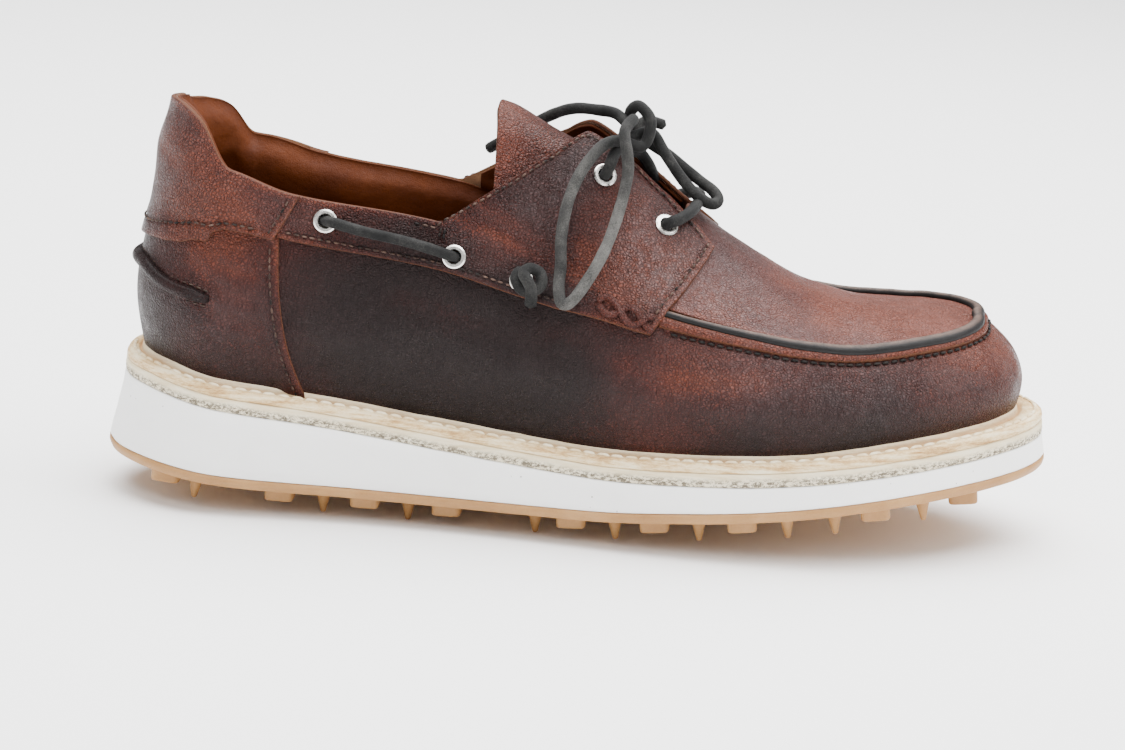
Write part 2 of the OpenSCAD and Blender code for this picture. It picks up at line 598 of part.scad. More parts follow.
module tongue_lining() {
    color([0.72, 0.50, 0.31])
        arch(tongue_stations, function(v) lookup(v, tongue_side) - 0.02, 12,
            function(v) -lookup(v, tongue_drop) - tongue_t - gap - lining_t,
            function(v) -lookup(v, tongue_drop) - tongue_t - gap);
}

module lateral_eyelets() {
    color([0.75, 0.74, 0.70]) eyelets(false);
}

module medial_eyelets() {
    color([0.75, 0.74, 0.70]) eyelets(true);
}

// Two thongs woven in and out along the quarter's lower front corner
module braid(mirrored) {
    thong_d = 2;
    turns = 1.5;
    swing = 0.035;
    under = overlay_out + 1.2;
    for (phase = [0, 180])
        cord([for (t = steps(0, 1, 14))
            let (v = braid_ends[0] + (braid_ends[1] - braid_ends[0]) * t,
                a = 360 * turns * t + phase,
                weave = 1.15 * (1 + cos(2 * a + phase + 90)) / 2 + (phase > 0 ? 1.1 : 0))
            skin(mirrored ? 6 - v : v, braid_level + swing * sin(a), under + weave)], thong_d, 6);
}

module lateral_braid() {
    color([0.33, 0.16, 0.12]) braid(false);
}

module medial_braid() {
    color([0.33, 0.16, 0.12]) braid(true);
}

module throat_lacing() {
    color([0.16, 0.16, 0.16]) cord(throat_route, lace_d);
}

module lateral_lace_end() {
    color([0.17, 0.17, 0.17]) cord(lateral_end_route, lace_d);
}

module medial_lace_end() {
    color([0.18, 0.18, 0.18]) cord(medial_end_route, lace_d);
}

module side_lace() {
    medial_run = [for (i = [len(side_route) - 1:-1:1]) let (p = side_route[i]) skin(6 - p[0], p[1], p[2])];
    lateral_run = [for (p = side_route) skin(p[0], p[1], p[2])];
    color([0.16, 0.16, 0.16]) cord(concat(medial_run, lateral_run), lace_d - 0.2);
}

// Overhand knot outside the foremost side eyelet, with its short tail hanging down
module side_knot() {
    rotate_extrude() translate([2.3, 0]) circle(r = 1.9, $fn = 20);
    translate([0, 0, 1.2]) rotate([0, 90, 20]) cylinder(h = 7.5, r = 1.8);
    sphere(r = 2.6, $fn = 20);
}

module side_lace_knots() {
    hole = side_holes[2];
    color([0.18, 0.18, 0.18])
        for (u = [hole[0], 6 - hole[0]]) on_surface(u, hole[1], overlay_out + 2.9) side_knot();
}

outsole();
traction_lugs();
traction_studs();
foam_midsole();
leather_midsole();
welt();
cork_filler();
shank();
insole_board();
footbed();
vamp();
moc_plug();
plug_lining();
toe_ridge_piping();
heel_counter_panel();
heel_bead();
heel_collar_patch();
lateral_quarter();
medial_quarter();
lateral_facing_lining();
medial_facing_lining();
quarter_lining();
vamp_lining();
heel_stiffener();
toe_puff();
collar_padding();
tongue();
tongue_lining();
lateral_eyelets();
medial_eyelets();
lateral_braid();
medial_braid();
throat_lacing();
lateral_lace_end();
medial_lace_end();
side_lace();
side_lace_knots();
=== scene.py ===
"""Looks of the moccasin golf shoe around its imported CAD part.

Frame: +X toe, +Y medial side, +Z up. Shapes are worked out in millimetres, as in the part,
and become metres when a mesh is made.
"""

import json
import math

import bpy
import numpy as np
from mathutils import Matrix, Vector, kdtree

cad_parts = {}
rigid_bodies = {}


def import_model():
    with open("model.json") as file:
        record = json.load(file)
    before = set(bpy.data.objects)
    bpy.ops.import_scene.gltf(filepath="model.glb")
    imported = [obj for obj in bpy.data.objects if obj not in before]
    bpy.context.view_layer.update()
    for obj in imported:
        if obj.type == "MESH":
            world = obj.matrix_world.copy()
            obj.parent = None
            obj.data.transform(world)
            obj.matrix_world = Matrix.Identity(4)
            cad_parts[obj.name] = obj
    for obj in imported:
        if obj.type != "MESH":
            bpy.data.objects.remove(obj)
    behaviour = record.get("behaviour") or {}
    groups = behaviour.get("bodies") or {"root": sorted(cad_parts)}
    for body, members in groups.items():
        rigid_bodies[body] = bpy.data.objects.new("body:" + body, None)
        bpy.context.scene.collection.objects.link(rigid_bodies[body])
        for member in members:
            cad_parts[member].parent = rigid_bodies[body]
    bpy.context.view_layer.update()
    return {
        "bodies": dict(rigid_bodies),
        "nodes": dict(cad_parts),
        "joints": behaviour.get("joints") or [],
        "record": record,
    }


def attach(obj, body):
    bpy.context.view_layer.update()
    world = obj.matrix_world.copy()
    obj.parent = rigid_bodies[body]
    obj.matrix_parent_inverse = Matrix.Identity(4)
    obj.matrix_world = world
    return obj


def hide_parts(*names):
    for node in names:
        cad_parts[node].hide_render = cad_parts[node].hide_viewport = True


MM = 0.001

# ---------------------------------------------------------------- camera

CAMERA_TARGET = Vector((0.0, -0.0022, 0.045))
CAMERA_DISTANCE = 1.1
CAMERA_AZIMUTH = 4.0
CAMERA_ELEVATION = 14.0
CAMERA_ROLL = 3.0
CAMERA_LENS = 106.5
CAMERA_SHIFT = (-0.0129, 0.0018)

# ---------------------------------------------------------------- the last and the sole, in mm

SOLE_L = 310.0
HEEL_R = 42.0
TOE_R = 78.0
OUTSOLE_T = 3.5
MIDSOLE_T = 4.5
WELT_T = 3.0
LEATHER_T = 1.4
LINING_T = 1.1
OVERLAY_IN = 1.5
OVERLAY_OUT = OVERLAY_IN + LEATHER_T
LINING_OUT = -1.3
LINING_IN = LINING_OUT - LINING_T
FEATHER_IN = 9.0
SPINE_END = SOLE_L - 30
LACE_D = 3.8
BEAD_D = 4.6
COLLAR_FOAM_T = 3.0
TO_MIDDLE = 1000.0  # an inset that always reaches the sole's centreline

LATERAL_HALF = [(0, 39), (13, 40), (29, 38.5), (45, 43), (61, 51.5), (75, 54), (100, 47)]
MEDIAL_HALF = [(0, 39), (13, 40), (29, 36), (45, 38.5), (61, 50), (72, 55), (100, 50)]
CENTRELINE = [(0, -2.2), (32, -2.2), (65, -1.2), (100, 2.8)]
UNDERSIDE = [(0, 13.5), (6, 12.5), (14, 10), (23, 9), (39, 8.5), (53, 9.3), (61, 11.3), (70, 14.1),
             (82, 19.2), (90, 22.5), (100, 26)]
FOAM_T = [(0, 22.7), (6, 22.5), (22, 19.9), (38, 14.9), (54, 10.3), (69, 8.1), (85, 7), (100, 7.2)]
HEEL_IN = [(0, 3.8), (0.5, 2.5), (1, 0)]
TOE_IN = [(2, 0), (2.5, 1.6), (3, 3.6)]
RIM_INSET = [(0, 20), (0.5, 15), (1, 12.5), (1.36, 13.5), (1.75, 15), (2, 16), (2.5, 18.5), (3, 23)]
RIM_HEIGHT = [(0, 131), (0.4, 132), (0.6, 131.5), (0.8, 127), (0.95, 115.5), (1.02, 111.4),
              (1.11, 105.5), (1.36, 99.5), (1.5, 92), (1.6, 86.5), (1.73, 77.5), (1.88, 71.5),
              (2, 68), (2.2, 67), (2.5, 69), (3, 73)]
MEDIAL_RISE = [(0, 0), (0.5, -4.5), (0.9, -2), (1.05, 3.5), (1.2, 4.5), (1.4, 4), (2, 3), (2.6, 3),
               (3, 0)]
SPINE_HEIGHT = [(32, 146), (41, 139.5), (50, 129.5), (56.5, 113.5), (64, 96.5), (66.5, 91.8),
                (73, 80.6), (78, 75.8), (85, 73), (94, 72)]
FOOT_ANGLE = [(0, 105), (1, 108), (2, 112), (3, 114)]
RIM_ANGLE = [(0, 80), (1, 85), (1.35, 78), (1.75, 62), (2, 50), (2.5, 40), (3, 35)]
FOOT_PULL = [(0, 0.33), (3, 0.45)]
RIM_PULL = [(0, 0.33), (3, 0.5)]
INSTEP_ANGLE = [(1, 80), (1.35, 72), (1.75, 48), (2, 16), (2.5, 7), (3, 5)]

# Edges of the panels as (station, level)
BAND_EDGE = [(1.085, 0.79), (1.25, 0.79), (1.48, 0.79), (1.57, 0.79), (1.66, 0.825), (1.728, 0.84)]
TOP_EDGE = [(1.09, 1.0), (1.25, 1.0), (1.364, 1.0), (1.425, 1.2), (1.489, 1.4), (1.55, 1.61),
            (1.592, 1.82), (1.676, 1.875), (1.731, 1.825), (1.786, 1.75), (1.816, 1.65)]
FRONT_BOW = 0.012
PATCH_LOW = [(0, 0.45), (0.6, 0.49), (0.74, 0.52), (0.885, 0.6), (0.94, 0.68), (1.02, 0.74),
             (1.115, 0.767)]
PATCH_SEAM = [(0, 0.525), (0.4, 0.535), (0.6, 0.56), (0.74, 0.595), (0.86, 0.655), (0.94, 0.712),
              (1.02, 0.768), (1.09, 0.793)]
BEAD_LEVEL = [(0, 0.37), (0.4, 0.37), (0.62, 0.335), (0.79, 0.34), (0.94, 0.38)]
SIDE_HOLES = [(1.167, 0.914), (1.39, 0.87), (1.506, 0.872)]
FACING_HOLES = [(1.626, 1.595), (1.734, 1.567)]
SEAM = 1.078
SEAM_LEAN = 0.058
SEAM_BEND = 3

# Lace routes in mm, from the eyelet they leave to their far end
THROAT_ROUTE = [(6, -19.7, 115.5), (5.3, -17.7, 114.2), (7, -12.7, 119.2), (12, -7.2, 121.8),
                (17, -0.2, 120.6), (21.5, 7.8, 111.4), (24.5, 12.6, 103), (26.5, 16, 101.3),
                (27.8, 19, 103.6), (32, 18.3, 105.2), (35.5, 10.8, 107), (37, -2.2, 107.8),
                (35.5, -14.2, 106.2), (32, -21.7, 104.4), (28, -23.7, 102.8), (26.5, -20.4, 100.3),
                (24.5, -17, 101.8), (19.5, -11.2, 110.4), (13.5, -1.2, 116.2), (8.5, 6.8, 117.2),
                (5.5, 11.4, 115.4), (6, 14, 116.2)]
LATERAL_END_ROUTE = [(6, -19.7, 115.5), (7.2, -22.5, 117.4), (8.5, -23.7, 120.5), (9.5, -19.2, 123.5),
                     (12, -13.2, 126), (15.5, -7.7, 128), (20.5, -5.7, 128.5), (25, -7.2, 122.5),
                     (31, -8.2, 114.8), (36.5, -8.2, 109.4), (41, -6.7, 106.8), (43, -3.7, 107.6),
                     (41, -1.2, 110.2), (36.5, -0.7, 113.2), (30.5, -0.7, 117.5), (26, -1.2, 121),
                     (20, -1.7, 124.5), (15.5, -0.7, 128), (18, 1.3, 131.3), (24.5, 0.8, 130.3)]
MEDIAL_END_ROUTE = [(6, 14, 116.2), (7, 16.8, 118), (9, 16.8, 121.5), (11, 10.8, 126),
                    (12.5, 3.8, 130.5), (13, -3.2, 135), (16, -7.7, 137.5), (20, -10.2, 133),
                    (18, -12.7, 125.5), (10.5, -17.7, 127.5), (5.5, -24, 126.3), (0, -29, 119.2),
                    (-3.5, -32.2, 110), (-5, -35, 99), (-4.5, -38.2, 90), (-4.5, -41.7, 83.5),
                    (-3, -44.7, 79), (0.5, -43.7, 80.5), (6, -39.5, 89), (10, -35.4, 98),
                    (13, -30, 109), (14.5, -26.7, 118.5), (14, -27.2, 125), (12.5, -22.2, 131.5),
                    (14.5, -14.2, 134), (12.5, -6.7, 131.5), (8, -1.2, 133.5), (2, 1.8, 133.8),
                    (-6, 6.8, 133), (-14, 13.8, 129.2), (-25, 23.3, 121.5), (-36.5, 28.8, 113.5)]
# Side lace as station, level and height over the base surface
SIDE_ROUTE = [(0, 0.62, -0.6), (0.3, 0.62, -0.6), (0.6, 0.64, -0.6), (0.85, 0.7, -0.6),
              (1, 0.8, -0.6), (1.1, 0.89, -0.8), (1.155, 0.912, -0.4), (1.167, 0.914, 2),
              (1.185, 0.912, 4.6), (1.24, 0.895, 5.3), (1.31, 0.885, 5.3), (1.37, 0.872, 4.6),
              (1.39, 0.87, 2), (1.402, 0.87, -0.5), (1.448, 0.872, -1), (1.494, 0.872, -0.5),
              (1.506, 0.872, 2), (1.506, 0.872, 4.4)]


# ---------------------------------------------------------------- shape functions


def curve(knots, x):
    """Smooth curve through the knots (x, y), held level beyond its ends."""
    k = np.asarray(knots, float)
    x = np.clip(np.asarray(x, float), k[0, 0], k[-1, 0])
    i = np.clip(np.searchsorted(k[:, 0], x, side="right") - 1, 0, len(k) - 2)
    before = np.maximum(np.arange(len(k)) - 1, 0)
    after = np.minimum(np.arange(len(k)) + 1, len(k) - 1)
    m = (k[after, 1] - k[before, 1]) / (k[after, 0] - k[before, 0])
    h = k[i + 1, 0] - k[i, 0]
    t = (x - k[i, 0]) / h
    start = (2 * t**3 - 3 * t**2 + 1) * k[i, 1] + (t**3 - 2 * t**2 + t) * h * m[i]
    return start + (3 * t**2 - 2 * t**3) * k[i + 1, 1] + (t**3 - t**2) * h * m[i + 1]


def lookup(knots, x):
    k = np.asarray(knots, float)
    return np.interp(x, k[:, 0], k[:, 1])


def smooth(x, low, high):
    """0 at low and 1 at high, eased; low may be above high."""
    t = np.clip((np.asarray(x, float) - low) / (high - low), 0, 1)
    return t * t * (3 - 2 * t)


def unit(v):
    return v / np.maximum(np.linalg.norm(v, axis=-1, keepdims=True), 1e-9)


def fold(u):
    u = np.mod(np.asarray(u, float), 6.0)
    return np.where(u <= 3, u, 6 - u), u > 3


def along(knots, s):
    return curve(knots, 100 * np.asarray(s) / SOLE_L)


def outsole_bottom(s):
    return along(UNDERSIDE, s)


def foam_bottom(s):
    return outsole_bottom(s) + OUTSOLE_T


def midsole_bottom(s):
    return foam_bottom(s) + along(FOAM_T, s)


def welt_bottom(s):
    return midsole_bottom(s) + MIDSOLE_T


def feather(s):
    return welt_bottom(s) + WELT_T


def station_s(v):
    heel = HEEL_R * (1 - np.cos(np.radians(90 * v)))
    side = HEEL_R + (SOLE_L - TOE_R - HEEL_R) * (v - 1)
    toe = SOLE_L - TOE_R + TOE_R * np.sin(np.radians(90 * (v - 2)))
    return np.select([v < 1, v < 2], [heel, side], toe)


def sole_edge(u):
    v, medial = fold(u)
    s = station_s(v)
    width = np.select([v < 1, v < 2], [np.sin(np.radians(90 * v)), np.ones_like(v)],
                      np.cos(np.radians(90 * (v - 2))))
    half = np.where(medial, along(MEDIAL_HALF, s), along(LATERAL_HALF, s))
    y = along(CENTRELINE, s) + np.where(medial, 1, -1) * width * half
    return np.stack([s, y], -1)


def anchor(u):
    v, _ = fold(u)
    a = np.select([v < 1, v < 2], [np.full_like(v, HEEL_R), station_s(v)], SOLE_L - TOE_R)
    return np.stack([a, along(CENTRELINE, a)], -1)


def inward(u):
    return unit(anchor(u) - sole_edge(u))


def upper_in(v):
    """How far the upper's foot and rim stand further in, round the heel and the toe."""
    return (curve(HEEL_IN, v) + curve(TOE_IN, v))[..., None]


def rim_z(u):
    v, medial = fold(u)
    return curve(RIM_HEIGHT, v) + np.where(medial, curve(MEDIAL_RISE, v), 0)


def bezier(a, b, c, d, t):
    return a * (1 - t) ** 3 + 3 * b * t * (1 - t) ** 2 + 3 * c * t**2 * (1 - t) + d * t**3


def wall(u, t):
    v, _ = fold(u)
    e = sole_edge(u)
    f = np.stack([np.full_like(v, FEATHER_IN), feather(e[..., 0])], -1)
    r = np.stack([curve(RIM_INSET, v), rim_z(u)], -1)
    n = np.linalg.norm(r - f, axis=-1, keepdims=True)
    a = np.radians(curve(FOOT_ANGLE, v))
    b = np.radians(curve(RIM_ANGLE, v))
    p = f + n * curve(FOOT_PULL, v)[..., None] * np.stack([np.cos(a), np.sin(a)], -1)
    q = r - n * curve(RIM_PULL, v)[..., None] * np.stack([np.cos(b), np.sin(b)], -1)
    m = bezier(f, p, q, r, t[..., None])
    xy = e + inward(u) * (m[..., :1] + upper_in(v))
    return np.concatenate([xy, m[..., 1:]], -1)


def spine(v):
    s = np.where(v < 2, station_s(v), SOLE_L - TOE_R + (SPINE_END - SOLE_L + TOE_R) * (v - 2))
    return np.stack([s, along(CENTRELINE, s), along(SPINE_HEIGHT, s)], -1)


def instep(u, t):
    v, _ = fold(u)
    xy = sole_edge(u) + inward(u) * (curve(RIM_INSET, v)[..., None] + upper_in(v))
    r = np.concatenate([xy, rim_z(u)[..., None]], -1)
    s = spine(v)
    n = np.linalg.norm(r - s, axis=-1, keepdims=True)
    b = np.radians(curve(INSTEP_ANGLE, v))[..., None]
    e = unit(s[..., :2] - r[..., :2])
    m = np.clip(v, 1.05, 2.95)
    step = spine(m + 0.05) - spine(m - 0.05)
    fall = (step[..., 2] / step[..., 0])[..., None]
    p = r + n * 0.35 * np.concatenate([e * np.cos(b), np.sin(b)], -1)
    q = s - n * 0.4 * np.concatenate([e, e[..., :1] * fall], -1)
    return bezier(r, p, q, s, t[..., None])


def base(u, w):
    """The upper's base surface: level 0 at the welt, 1 at the rim, 2 on the instep's spine."""
    u, w = np.broadcast_arrays(np.asarray(u, float), np.asarray(w, float))
    low = wall(u, np.clip(w, 0, 1))
    high = instep(u, np.clip(w - 1, 0, 1))
    return np.where((w <= 1)[..., None], low, high) - [SOLE_L / 2, 0, 0]


def skin_frame(u, w):
    """Point and outward normal at station u round the shoe and level w up it."""
    e = 0.02
    highest = np.where(fold(u)[0] < 1.36, 1, 2)
    across_u = base(u + e, w) - base(u - e, w)
    up = base(u, np.minimum(w + e, highest)) - base(u, np.maximum(w - e, 0))
    return base(u, w), unit(np.cross(across_u, up))


def across(v, c):
    return base(np.where(c <= 0, v, 6 - v), 2 - np.abs(c))


def ridge_frame(v, c):
    """Point and upward normal on the instep: c -1 lateral rim, 0 spine, 1 medial rim."""
    e = 0.02
    forward = across(v + e, c) - across(v - e, c)
    sideways = across(v, c + e) - across(v, c - e)
    return across(v, c), unit(np.cross(forward, sideways))


# ---------------------------------------------------------------- relief and tone of the leather

# Broad dents and folds of the worn leather: (station, level) route, half-width and depth in mm
FOLDS = [
    ([(1.40, 1.04), (1.47, 1.03), (1.55, 0.985), (1.60, 0.96)], 2.4, 0.75),
    ([(1.43, 1.16), (1.50, 1.13), (1.57, 1.05)], 2.2, 0.45),
    ([(1.58, 1.02), (1.65, 0.99), (1.71, 0.97)], 2.0, 0.6),
    ([(1.60, 1.16), (1.64, 1.08), (1.70, 1.02)], 2.4, 0.4),
    ([(1.30, 0.62), (1.42, 0.58), (1.55, 0.60)], 5.0, 0.6),
    ([(1.52, 0.74), (1.60, 0.66), (1.68, 0.62)], 4.0, 0.5),
    ([(1.70, 0.60), (1.80, 0.58), (1.92, 0.66)], 4.5, 0.5),
    ([(0.86, 0.60), (0.95, 0.55), (1.05, 0.57)], 2.0, 0.4),
    ([(0.80, 0.48), (0.92, 0.46), (1.04, 0.44)], 2.2, 0.35),
    ([(0.84, 0.34), (0.96, 0.33), (1.06, 0.30)], 2.4, 0.35),
    ([(0.30, 0.86), (0.62, 0.80), (0.86, 0.86)], 3.0, 0.5),
]
# How red or dark the leather is in places: station, level, radius in mm, amount
TONES = [
    (0.15, 0.20, 34, -0.34), (0.70, 0.18, 26, -0.22), (1.00, 0.52, 22, 0.30), (0.92, 0.70, 18, 0.12),
    (1.22, 0.55, 26, -0.30), (1.36, 0.40, 30, -0.46), (1.52, 0.45, 30, -0.48), (1.30, 0.12, 26, -0.20),
    (1.64, 0.52, 22, -0.06), (1.74, 0.34, 24, 0.30), (1.86, 0.60, 24, 0.05), (1.90, 0.12, 22, -0.24),
    (2.20, 0.10, 22, -0.44), (2.60, 0.10, 26, -0.44), (2.15, 0.55, 26, 0.12), (2.55, 0.60, 26, 0.22),
    (2.90, 0.55, 24, 0.22), (1.20, 0.92, 22, 0.14), (1.33, 0.92, 20, 0.02), (1.47, 0.99, 12, 0.34),
    (1.64, 1.00, 16, 0.38), (1.50, 1.25, 18, -0.04), (1.60, 1.60, 16, 0.02), (1.66, 1.30, 20, 0.18),
    (1.76, 1.30, 16, 0.24), (0.30, 0.75, 30, 0.16), (0.80, 0.84, 20, 0.20), (1.02, 0.86, 14, 0.26),
    (2.10, 1.60, 40, 0.24), (2.70, 1.50, 36, 0.30), (1.90, 1.30, 22, 0.10),
]


# Painted sheen: milky grey highlight patches painted onto the leather: station, level, radius in mm, amount
PAINTED_SHEEN_SPOTS = [
    (1.74, 1.22, 13, 0.42), (1.68, 1.36, 10, 0.30), (1.58, 1.52, 9, 0.22), (1.52, 1.22, 9, 0.16),
    (1.92, 0.84, 16, 0.22), (2.20, 0.82, 18, 0.16), (2.60, 0.80, 16, 0.10), (1.84, 1.30, 14, 0.22),
    (0.20, 0.80, 16, 0.10), (1.10, 0.90, 8, 0.12), (0.95, 0.30, 12, 0.10), (0.05, 0.20, 14, 0.14),
]


def tree_of(points):
    tree = kdtree.KDTree(len(points))
    for i, p in enumerate(points):
        tree.insert(p, i)
    tree.balance()
    return tree


def distances(points, tree):
    flat = points.reshape(-1, 3)
    return np.array([tree.find(p)[2] for p in flat]).reshape(points.shape[:-1])


def both_sides(station, level):
    return np.concatenate([base(np.atleast_1d(station), np.atleast_1d(level)),
                           base(6 - np.atleast_1d(station), np.atleast_1d(level))])


def route_points(knots, count=60):
    k = np.asarray(knots, float)
    t = np.linspace(0, len(k) - 1, count)
    return np.stack([np.interp(t, np.arange(len(k)), k[:, j]) for j in range(k.shape[1])], -1)


def fold_trees():
    trees = []
    for route, half_width, depth in FOLDS:
        dense = route_points(route)
        points = both_sides(dense[:, 0], dense[:, 1])
        trees.append((tree_of(points), points.min(0), points.max(0), half_width, depth))
    return trees


FOLD_TREES = fold_trees()
HOLE_CENTRES = np.concatenate([both_sides(*hole) for hole in SIDE_HOLES + FACING_HOLES])
TONE_CENTRES = [(both_sides(u, w), r, amount) for u, w, r, amount in TONES]
PAINTED_SHEEN_CENTRES = [(both_sides(u, w), r, amount) for u, w, r, amount in PAINTED_SHEEN_SPOTS]


GRADIENTS = np.array([(1, 1, 0), (-1, 1, 0), (1, -1, 0), (-1, -1, 0), (1, 0, 1), (-1, 0, 1),
                      (1, 0, -1), (-1, 0, -1), (0, 1, 1), (0, -1, 1), (0, 1, -1), (0, -1, -1)], float)


def lattice_gradient(cell):
    """A fixed pseudo-random direction for each whole-number cell corner."""
    mixed = (cell[..., 0] * 73856093) ^ (cell[..., 1] * 19349663) ^ (cell[..., 2] * 83492791)
    mixed = (mixed ^ (mixed >> 13)) * 1274126177
    return GRADIENTS[((mixed ^ (mixed >> 16)) & 0x7FFFFFFF) % len(GRADIENTS)]


def noise_field(points, size, seed=0.0):
    """Smooth gradient noise from about -1 to 1 with features of about size mm."""
    place = np.asarray(points, float) / size + 7.3 * seed
    cell = np.floor(place).astype(np.int64)
    f = place - cell
    fade = f**3 * (f * (6 * f - 15) + 10)
    total = np.zeros(place.shape[:-1])
    for corner in np.ndindex(2, 2, 2):
        step = np.array(corner)
        share = np.prod(np.where(step == 1, fade, 1 - fade), axis=-1)
        total += share * np.sum(lattice_gradient(cell + step) * (f - step), axis=-1)
    return total


def folds_at(points):
    """How deep the points lie in the worn leather's folds, in mm."""
    depth = np.zeros(points.shape[:-1])
    for tree, low, high, half_width, deep in FOLD_TREES:
        reach = 2.5 * half_width
        near = np.all((points > low - reach) & (points < high + reach), axis=-1)
        d = distances(points[near], tree)
        depth[near] += deep * np.exp(-((d / half_width) ** 2))
    return depth


def relief(points):
    """Height in mm that the leather stands off its plain shape: dents, ripples and folds."""
    height = 0.42 * noise_field(points, 17) + 0.16 * noise_field(points, 6, 5.0)
    height = height - folds_at(points)
    from_hole = np.min(np.linalg.norm(points[..., None, :] - HOLE_CENTRES, axis=-1), axis=-1)
    from_welt = points[..., 2] - feather(points[..., 0] + SOLE_L / 2)
    return height * smooth(from_hole, 4.2, 8.5) * smooth(from_welt, 0.5, 7.0)


def blobs(points, placed):
    value = np.zeros(points.shape[:-1])
    for centres, radius, amount in placed:
        d = np.min(np.linalg.norm(points[..., None, :] - centres, axis=-1), axis=-1)
        value = value + amount * np.exp(-((d / radius) ** 2))
    return value


def tone(points):
    value = 0.5 + 0.16 * noise_field(points, 30, 3.0) + 0.10 * noise_field(points, 12, 9.0)
    return np.clip(value + blobs(points, TONE_CENTRES), 0, 1)


def laid(frame, p, q, height):
    """Points at a height in mm over the worn surface, with their normals."""
    point, out = frame(np.asarray(p, float), np.asarray(q, float))
    return point + out * (height + relief(point))[..., None], out


# ---------------------------------------------------------------- materials


class Shader:
    """A Principled material and short ways to add its nodes."""

    def __init__(self, name, **values):
        self.material = bpy.data.materials.new(name)
        self.material.use_nodes = True
        self.tree = self.material.node_tree
        self.bsdf = self.tree.nodes["Principled BSDF"]
        for socket, value in values.items():
            self.bsdf.inputs[socket.replace("_", " ")].default_value = value
        self.place = self.node("ShaderNodeTexCoord").outputs["Object"]

    def node(self, kind, **settings):
        made = self.tree.nodes.new(kind)
        for key, value in settings.items():
            setattr(made, key, value)
        return made

    def link(self, source, target):
        self.tree.links.new(source, target)

    def feed(self, target, value):
        if hasattr(value, "links"):
            self.link(value, target)
        else:
            target.default_value = value

    def stretched(self, scale):
        """Object coordinates with their own scale along each axis."""
        mapping = self.node("ShaderNodeMapping")
        self.link(self.place, mapping.inputs["Vector"])
        mapping.inputs["Scale"].default_value = scale
        return mapping.outputs["Vector"]

    def noise(self, per_metre, detail=3.0, roughness=0.55, place=None, distortion=0.0):
        made = self.node("ShaderNodeTexNoise")
        self.link(place or self.place, made.inputs["Vector"])
        made.inputs["Scale"].default_value = per_metre
        made.inputs["Detail"].default_value = detail
        made.inputs["Roughness"].default_value = roughness
        made.inputs["Distortion"].default_value = distortion
        return made.outputs["Fac"]

    def cells(self, per_metre, place=None, feature="DISTANCE_TO_EDGE"):
        made = self.node("ShaderNodeTexVoronoi", feature=feature)
        self.link(place or self.place, made.inputs["Vector"])
        made.inputs["Scale"].default_value = per_metre
        return made.outputs["Distance"]

    def warped(self, per_metre, amount):
        """Object coordinates pushed about by noise, so that cells lose their straight sides."""
        made = self.node("ShaderNodeTexNoise")
        self.link(self.place, made.inputs["Vector"])
        made.inputs["Scale"].default_value = per_metre
        made.inputs["Detail"].default_value = 2.0
        scaled = self.node("ShaderNodeVectorMath", operation="MULTIPLY_ADD")
        self.link(made.outputs["Color"], scaled.inputs[0])
        scaled.inputs[1].default_value = (amount, amount, amount)
        self.link(self.place, scaled.inputs[2])
        return scaled.outputs["Vector"]

    def math(self, operation, a, b=0.0, c=0.0, clamp=False):
        made = self.node("ShaderNodeMath", operation=operation, use_clamp=clamp)
        for socket, value in zip(made.inputs, (a, b, c)):
            self.feed(socket, value)
        return made.outputs[0]

    def remap(self, value, low, high, to_low=0.0, to_high=1.0):
        made = self.node("ShaderNodeMapRange", interpolation_type="SMOOTHSTEP")
        for name, v in (("Value", value), ("From Min", low), ("From Max", high),
                        ("To Min", to_low), ("To Max", to_high)):
            self.feed(made.inputs[name], v)
        return made.outputs["Result"]

    def mix(self, factor, a, b, blend="MIX"):
        made = self.node("ShaderNodeMix", data_type="RGBA", blend_type=blend)
        self.feed(made.inputs["Factor"], factor)
        self.feed(made.inputs[6], a)
        self.feed(made.inputs[7], b)
        return made.outputs[2]

    def ramp(self, value, stops):
        made = self.node("ShaderNodeValToRGB")
        elements = made.color_ramp.elements
        while len(elements) < len(stops):
            elements.new(0.5)
        for element, (position, colour) in zip(elements, stops):
            element.position = position
            element.color = (*colour, 1)
        self.link(value, made.inputs["Fac"])
        return made.outputs["Color"]

    def attribute(self, name):
        return self.node("ShaderNodeAttribute", attribute_name=name).outputs["Fac"]

    def bump(self, height, strength, distance, normal=None):
        made = self.node("ShaderNodeBump")
        made.inputs["Strength"].default_value = strength
        made.inputs["Distance"].default_value = distance
        self.link(height, made.inputs["Height"])
        if normal:
            self.link(normal, made.inputs["Normal"])
        return made.outputs["Normal"]

    def finish(self, colour=None, roughness=None, normal=None):
        if colour is not None:
            self.link(colour, self.bsdf.inputs["Base Color"])
        if roughness is not None:
            self.link(roughness, self.bsdf.inputs["Roughness"])
        if normal is not None:
            self.link(normal, self.bsdf.inputs["Normal"])
        return self.material


OXBLOOD = [
    (0.00, (0.0042, 0.0029, 0.0031)),
    (0.20, (0.0090, 0.0046, 0.0046)),
    (0.40, (0.0210, 0.0065, 0.0058)),
    (0.60, (0.0430, 0.0102, 0.0078)),
    (0.80, (0.0780, 0.0180, 0.0115)),
    (1.00, (0.1450, 0.0340, 0.0170)),
]


